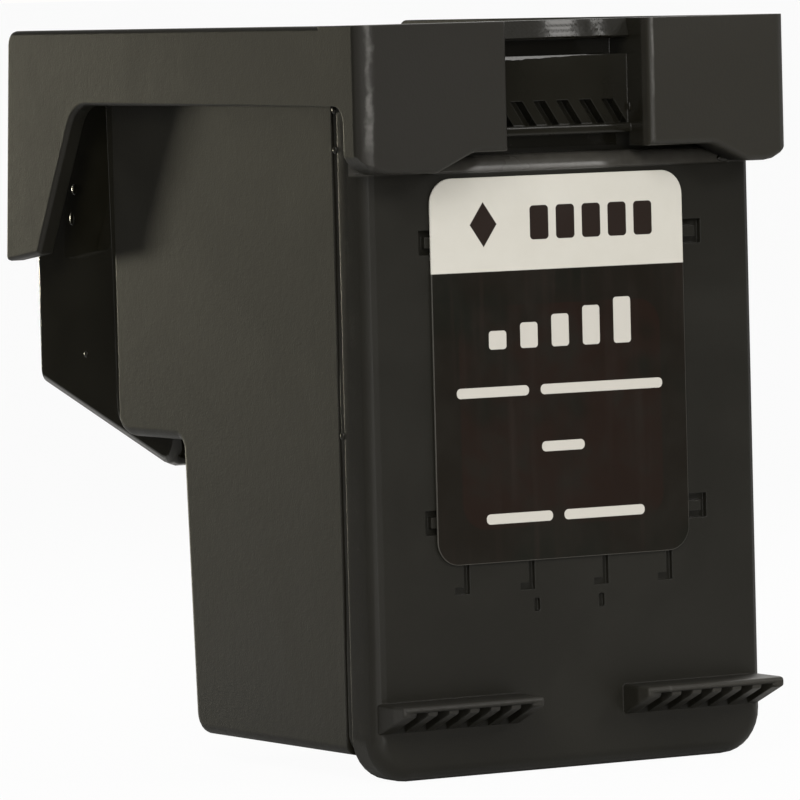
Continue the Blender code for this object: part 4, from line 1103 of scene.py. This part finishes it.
def make_floor():
    """A pale plain floor that looks white to the camera and still takes the object's shadow."""
    made = bpy.data.materials.new("floor")
    made.use_nodes = True
    tree = made.node_tree
    tree.nodes.clear()
    place = tree.nodes.new("ShaderNodeTexCoord").outputs["Object"]
    reach = add(tree, "ShaderNodeVectorMath", {0: place}, operation="LENGTH").outputs["Value"]
    pale = blend_colour(
        tree, between(tree, reach, 0.07, 0.31), (0.72, 0.72, 0.71, 1.0), (0.08, 0.08, 0.08, 1.0)
    )
    diffuse = add(tree, "ShaderNodeBsdfDiffuse", {"Color": pale})
    glow = add(tree, "ShaderNodeEmission", {"Color": (1.0, 1.0, 1.0, 1.0), "Strength": 1.0})
    path = tree.nodes.new("ShaderNodeLightPath")
    share = product(tree, path.outputs["Is Camera Ray"], 0.96)
    mixed = add(tree, "ShaderNodeMixShader", {0: share, 1: diffuse.outputs[0], 2: glow.outputs[0]})
    out = add(tree, "ShaderNodeOutputMaterial")
    tree.links.new(mixed.outputs[0], out.inputs["Surface"])
    work = bmesh.new()
    bmesh.ops.create_grid(work, x_segments=1, y_segments=1, size=FLOOR_SIZE)
    bmesh.ops.translate(work, verts=work.verts, vec=(0.0, 0.0, -FLOOR_GAP))
    mesh = bpy.data.meshes.new("floor")
    work.to_mesh(mesh)
    work.free()
    mesh.materials.append(made)
    floor = bpy.data.objects.new("floor", mesh)
    bpy.context.scene.collection.objects.link(floor)


def make_world():
    """White to the camera; to gloss, white overhead and behind on the right, and dim elsewhere."""
    world = bpy.data.worlds.new("studio")
    world.use_nodes = True
    bpy.context.scene.world = world
    tree = world.node_tree
    tree.nodes.clear()
    way = tree.nodes.new("ShaderNodeTexCoord").outputs["Generated"]
    towards = add(tree, "ShaderNodeVectorMath", {0: way, 1: (0.90, 0.40, 0.18)}, operation="DOT_PRODUCT")
    behind = between(tree, towards.outputs["Value"], 0.25, 0.9, 0.08, 0.9)
    overhead = between(tree, split(tree, way)["Z"], 0.5, 0.95, 0.0, 0.9)
    behind = greatest(tree, behind, overhead)
    path = tree.nodes.new("ShaderNodeLightPath").outputs
    sharp = greatest(tree, path["Is Glossy Ray"], path["Is Transmission Ray"])
    level = add(tree, "ShaderNodeMix", {"Factor": sharp, 2: 0.42, 3: behind})
    seen = add(tree, "ShaderNodeMix", {"Factor": path["Is Camera Ray"], 2: level.outputs[0], 3: 1.0})
    light = add(tree, "ShaderNodeBackground", {"Color": (1.0, 0.99, 0.97, 1.0), "Strength": seen.outputs[0]})
    out = add(tree, "ShaderNodeOutputWorld")
    tree.links.new(light.outputs[0], out.inputs["Surface"])


def add_softbox(name, place, target, width, height, power, colour=(1.0, 0.98, 0.95)):
    data = bpy.data.lights.new(name, "AREA")
    data.shape = "RECTANGLE"
    data.size = width
    data.size_y = height
    data.energy = power
    data.color = colour
    lamp = bpy.data.objects.new(name, data)
    lamp.location = place
    lamp.rotation_euler = (Vector(target) - Vector(place)).to_track_quat("-Z", "Y").to_euler()
    lamp.visible_camera = False
    bpy.context.scene.collection.objects.link(lamp)
    return lamp


def make_lights():
    middle = (0.0, 0.0, 0.028)
    warm = (1.0, 0.94, 0.72)
    add_softbox("front left softbox", (-0.50, -0.55, 0.55), middle, 0.40, 0.40, 3.5)
    add_softbox("front fill", (-0.27, -0.80, 0.13), middle, 0.30, 0.24, 1.9)
    add_softbox("upper right softbox", (0.46, -0.63, 0.48), middle, 0.22, 0.22, 1.3)
    add_softbox("left card", (-0.66, -0.36, 0.06), middle, 0.06, 0.22, 0.25)
    add_softbox("right rear softbox", (0.55, 0.42, 0.46), middle, 0.30, 0.30, 1.8)
    add_softbox("rear edge lamp", (-0.080, 0.72, 0.035), (-0.017, 0.01, 0.035), 0.022, 0.06, 0.80, warm)


def make_camera():
    """The photograph's view: a forward line from yaw and pitch, then the roll about it."""
    forward = Vector(
        (
            np.sin(CAMERA_YAW) * np.cos(CAMERA_PITCH),
            np.cos(CAMERA_YAW) * np.cos(CAMERA_PITCH),
            -np.sin(CAMERA_PITCH),
        )
    )
    level = Vector((np.cos(CAMERA_YAW), -np.sin(CAMERA_YAW), 0.0))
    upright = level.cross(forward)
    right = np.cos(CAMERA_ROLL) * level + np.sin(CAMERA_ROLL) * upright
    up = -np.sin(CAMERA_ROLL) * level + np.cos(CAMERA_ROLL) * upright
    data = bpy.data.cameras.new("photo camera")
    data.lens = CAMERA_LENS
    data.sensor_width = 36.0
    data.clip_start = 0.02
    data.clip_end = 50.0
    camera = bpy.data.objects.new("photo camera", data)
    turn = Matrix((right, up, -forward)).transposed().to_4x4()
    camera.matrix_world = Matrix.Translation(CAMERA_PLACE) @ turn
    bpy.context.scene.collection.objects.link(camera)
    bpy.context.scene.camera = camera


make_groups()
dress_nodes()
make_floor()
make_world()
make_lights()
make_camera()
bpy.context.scene.view_settings.view_transform = "Standard"
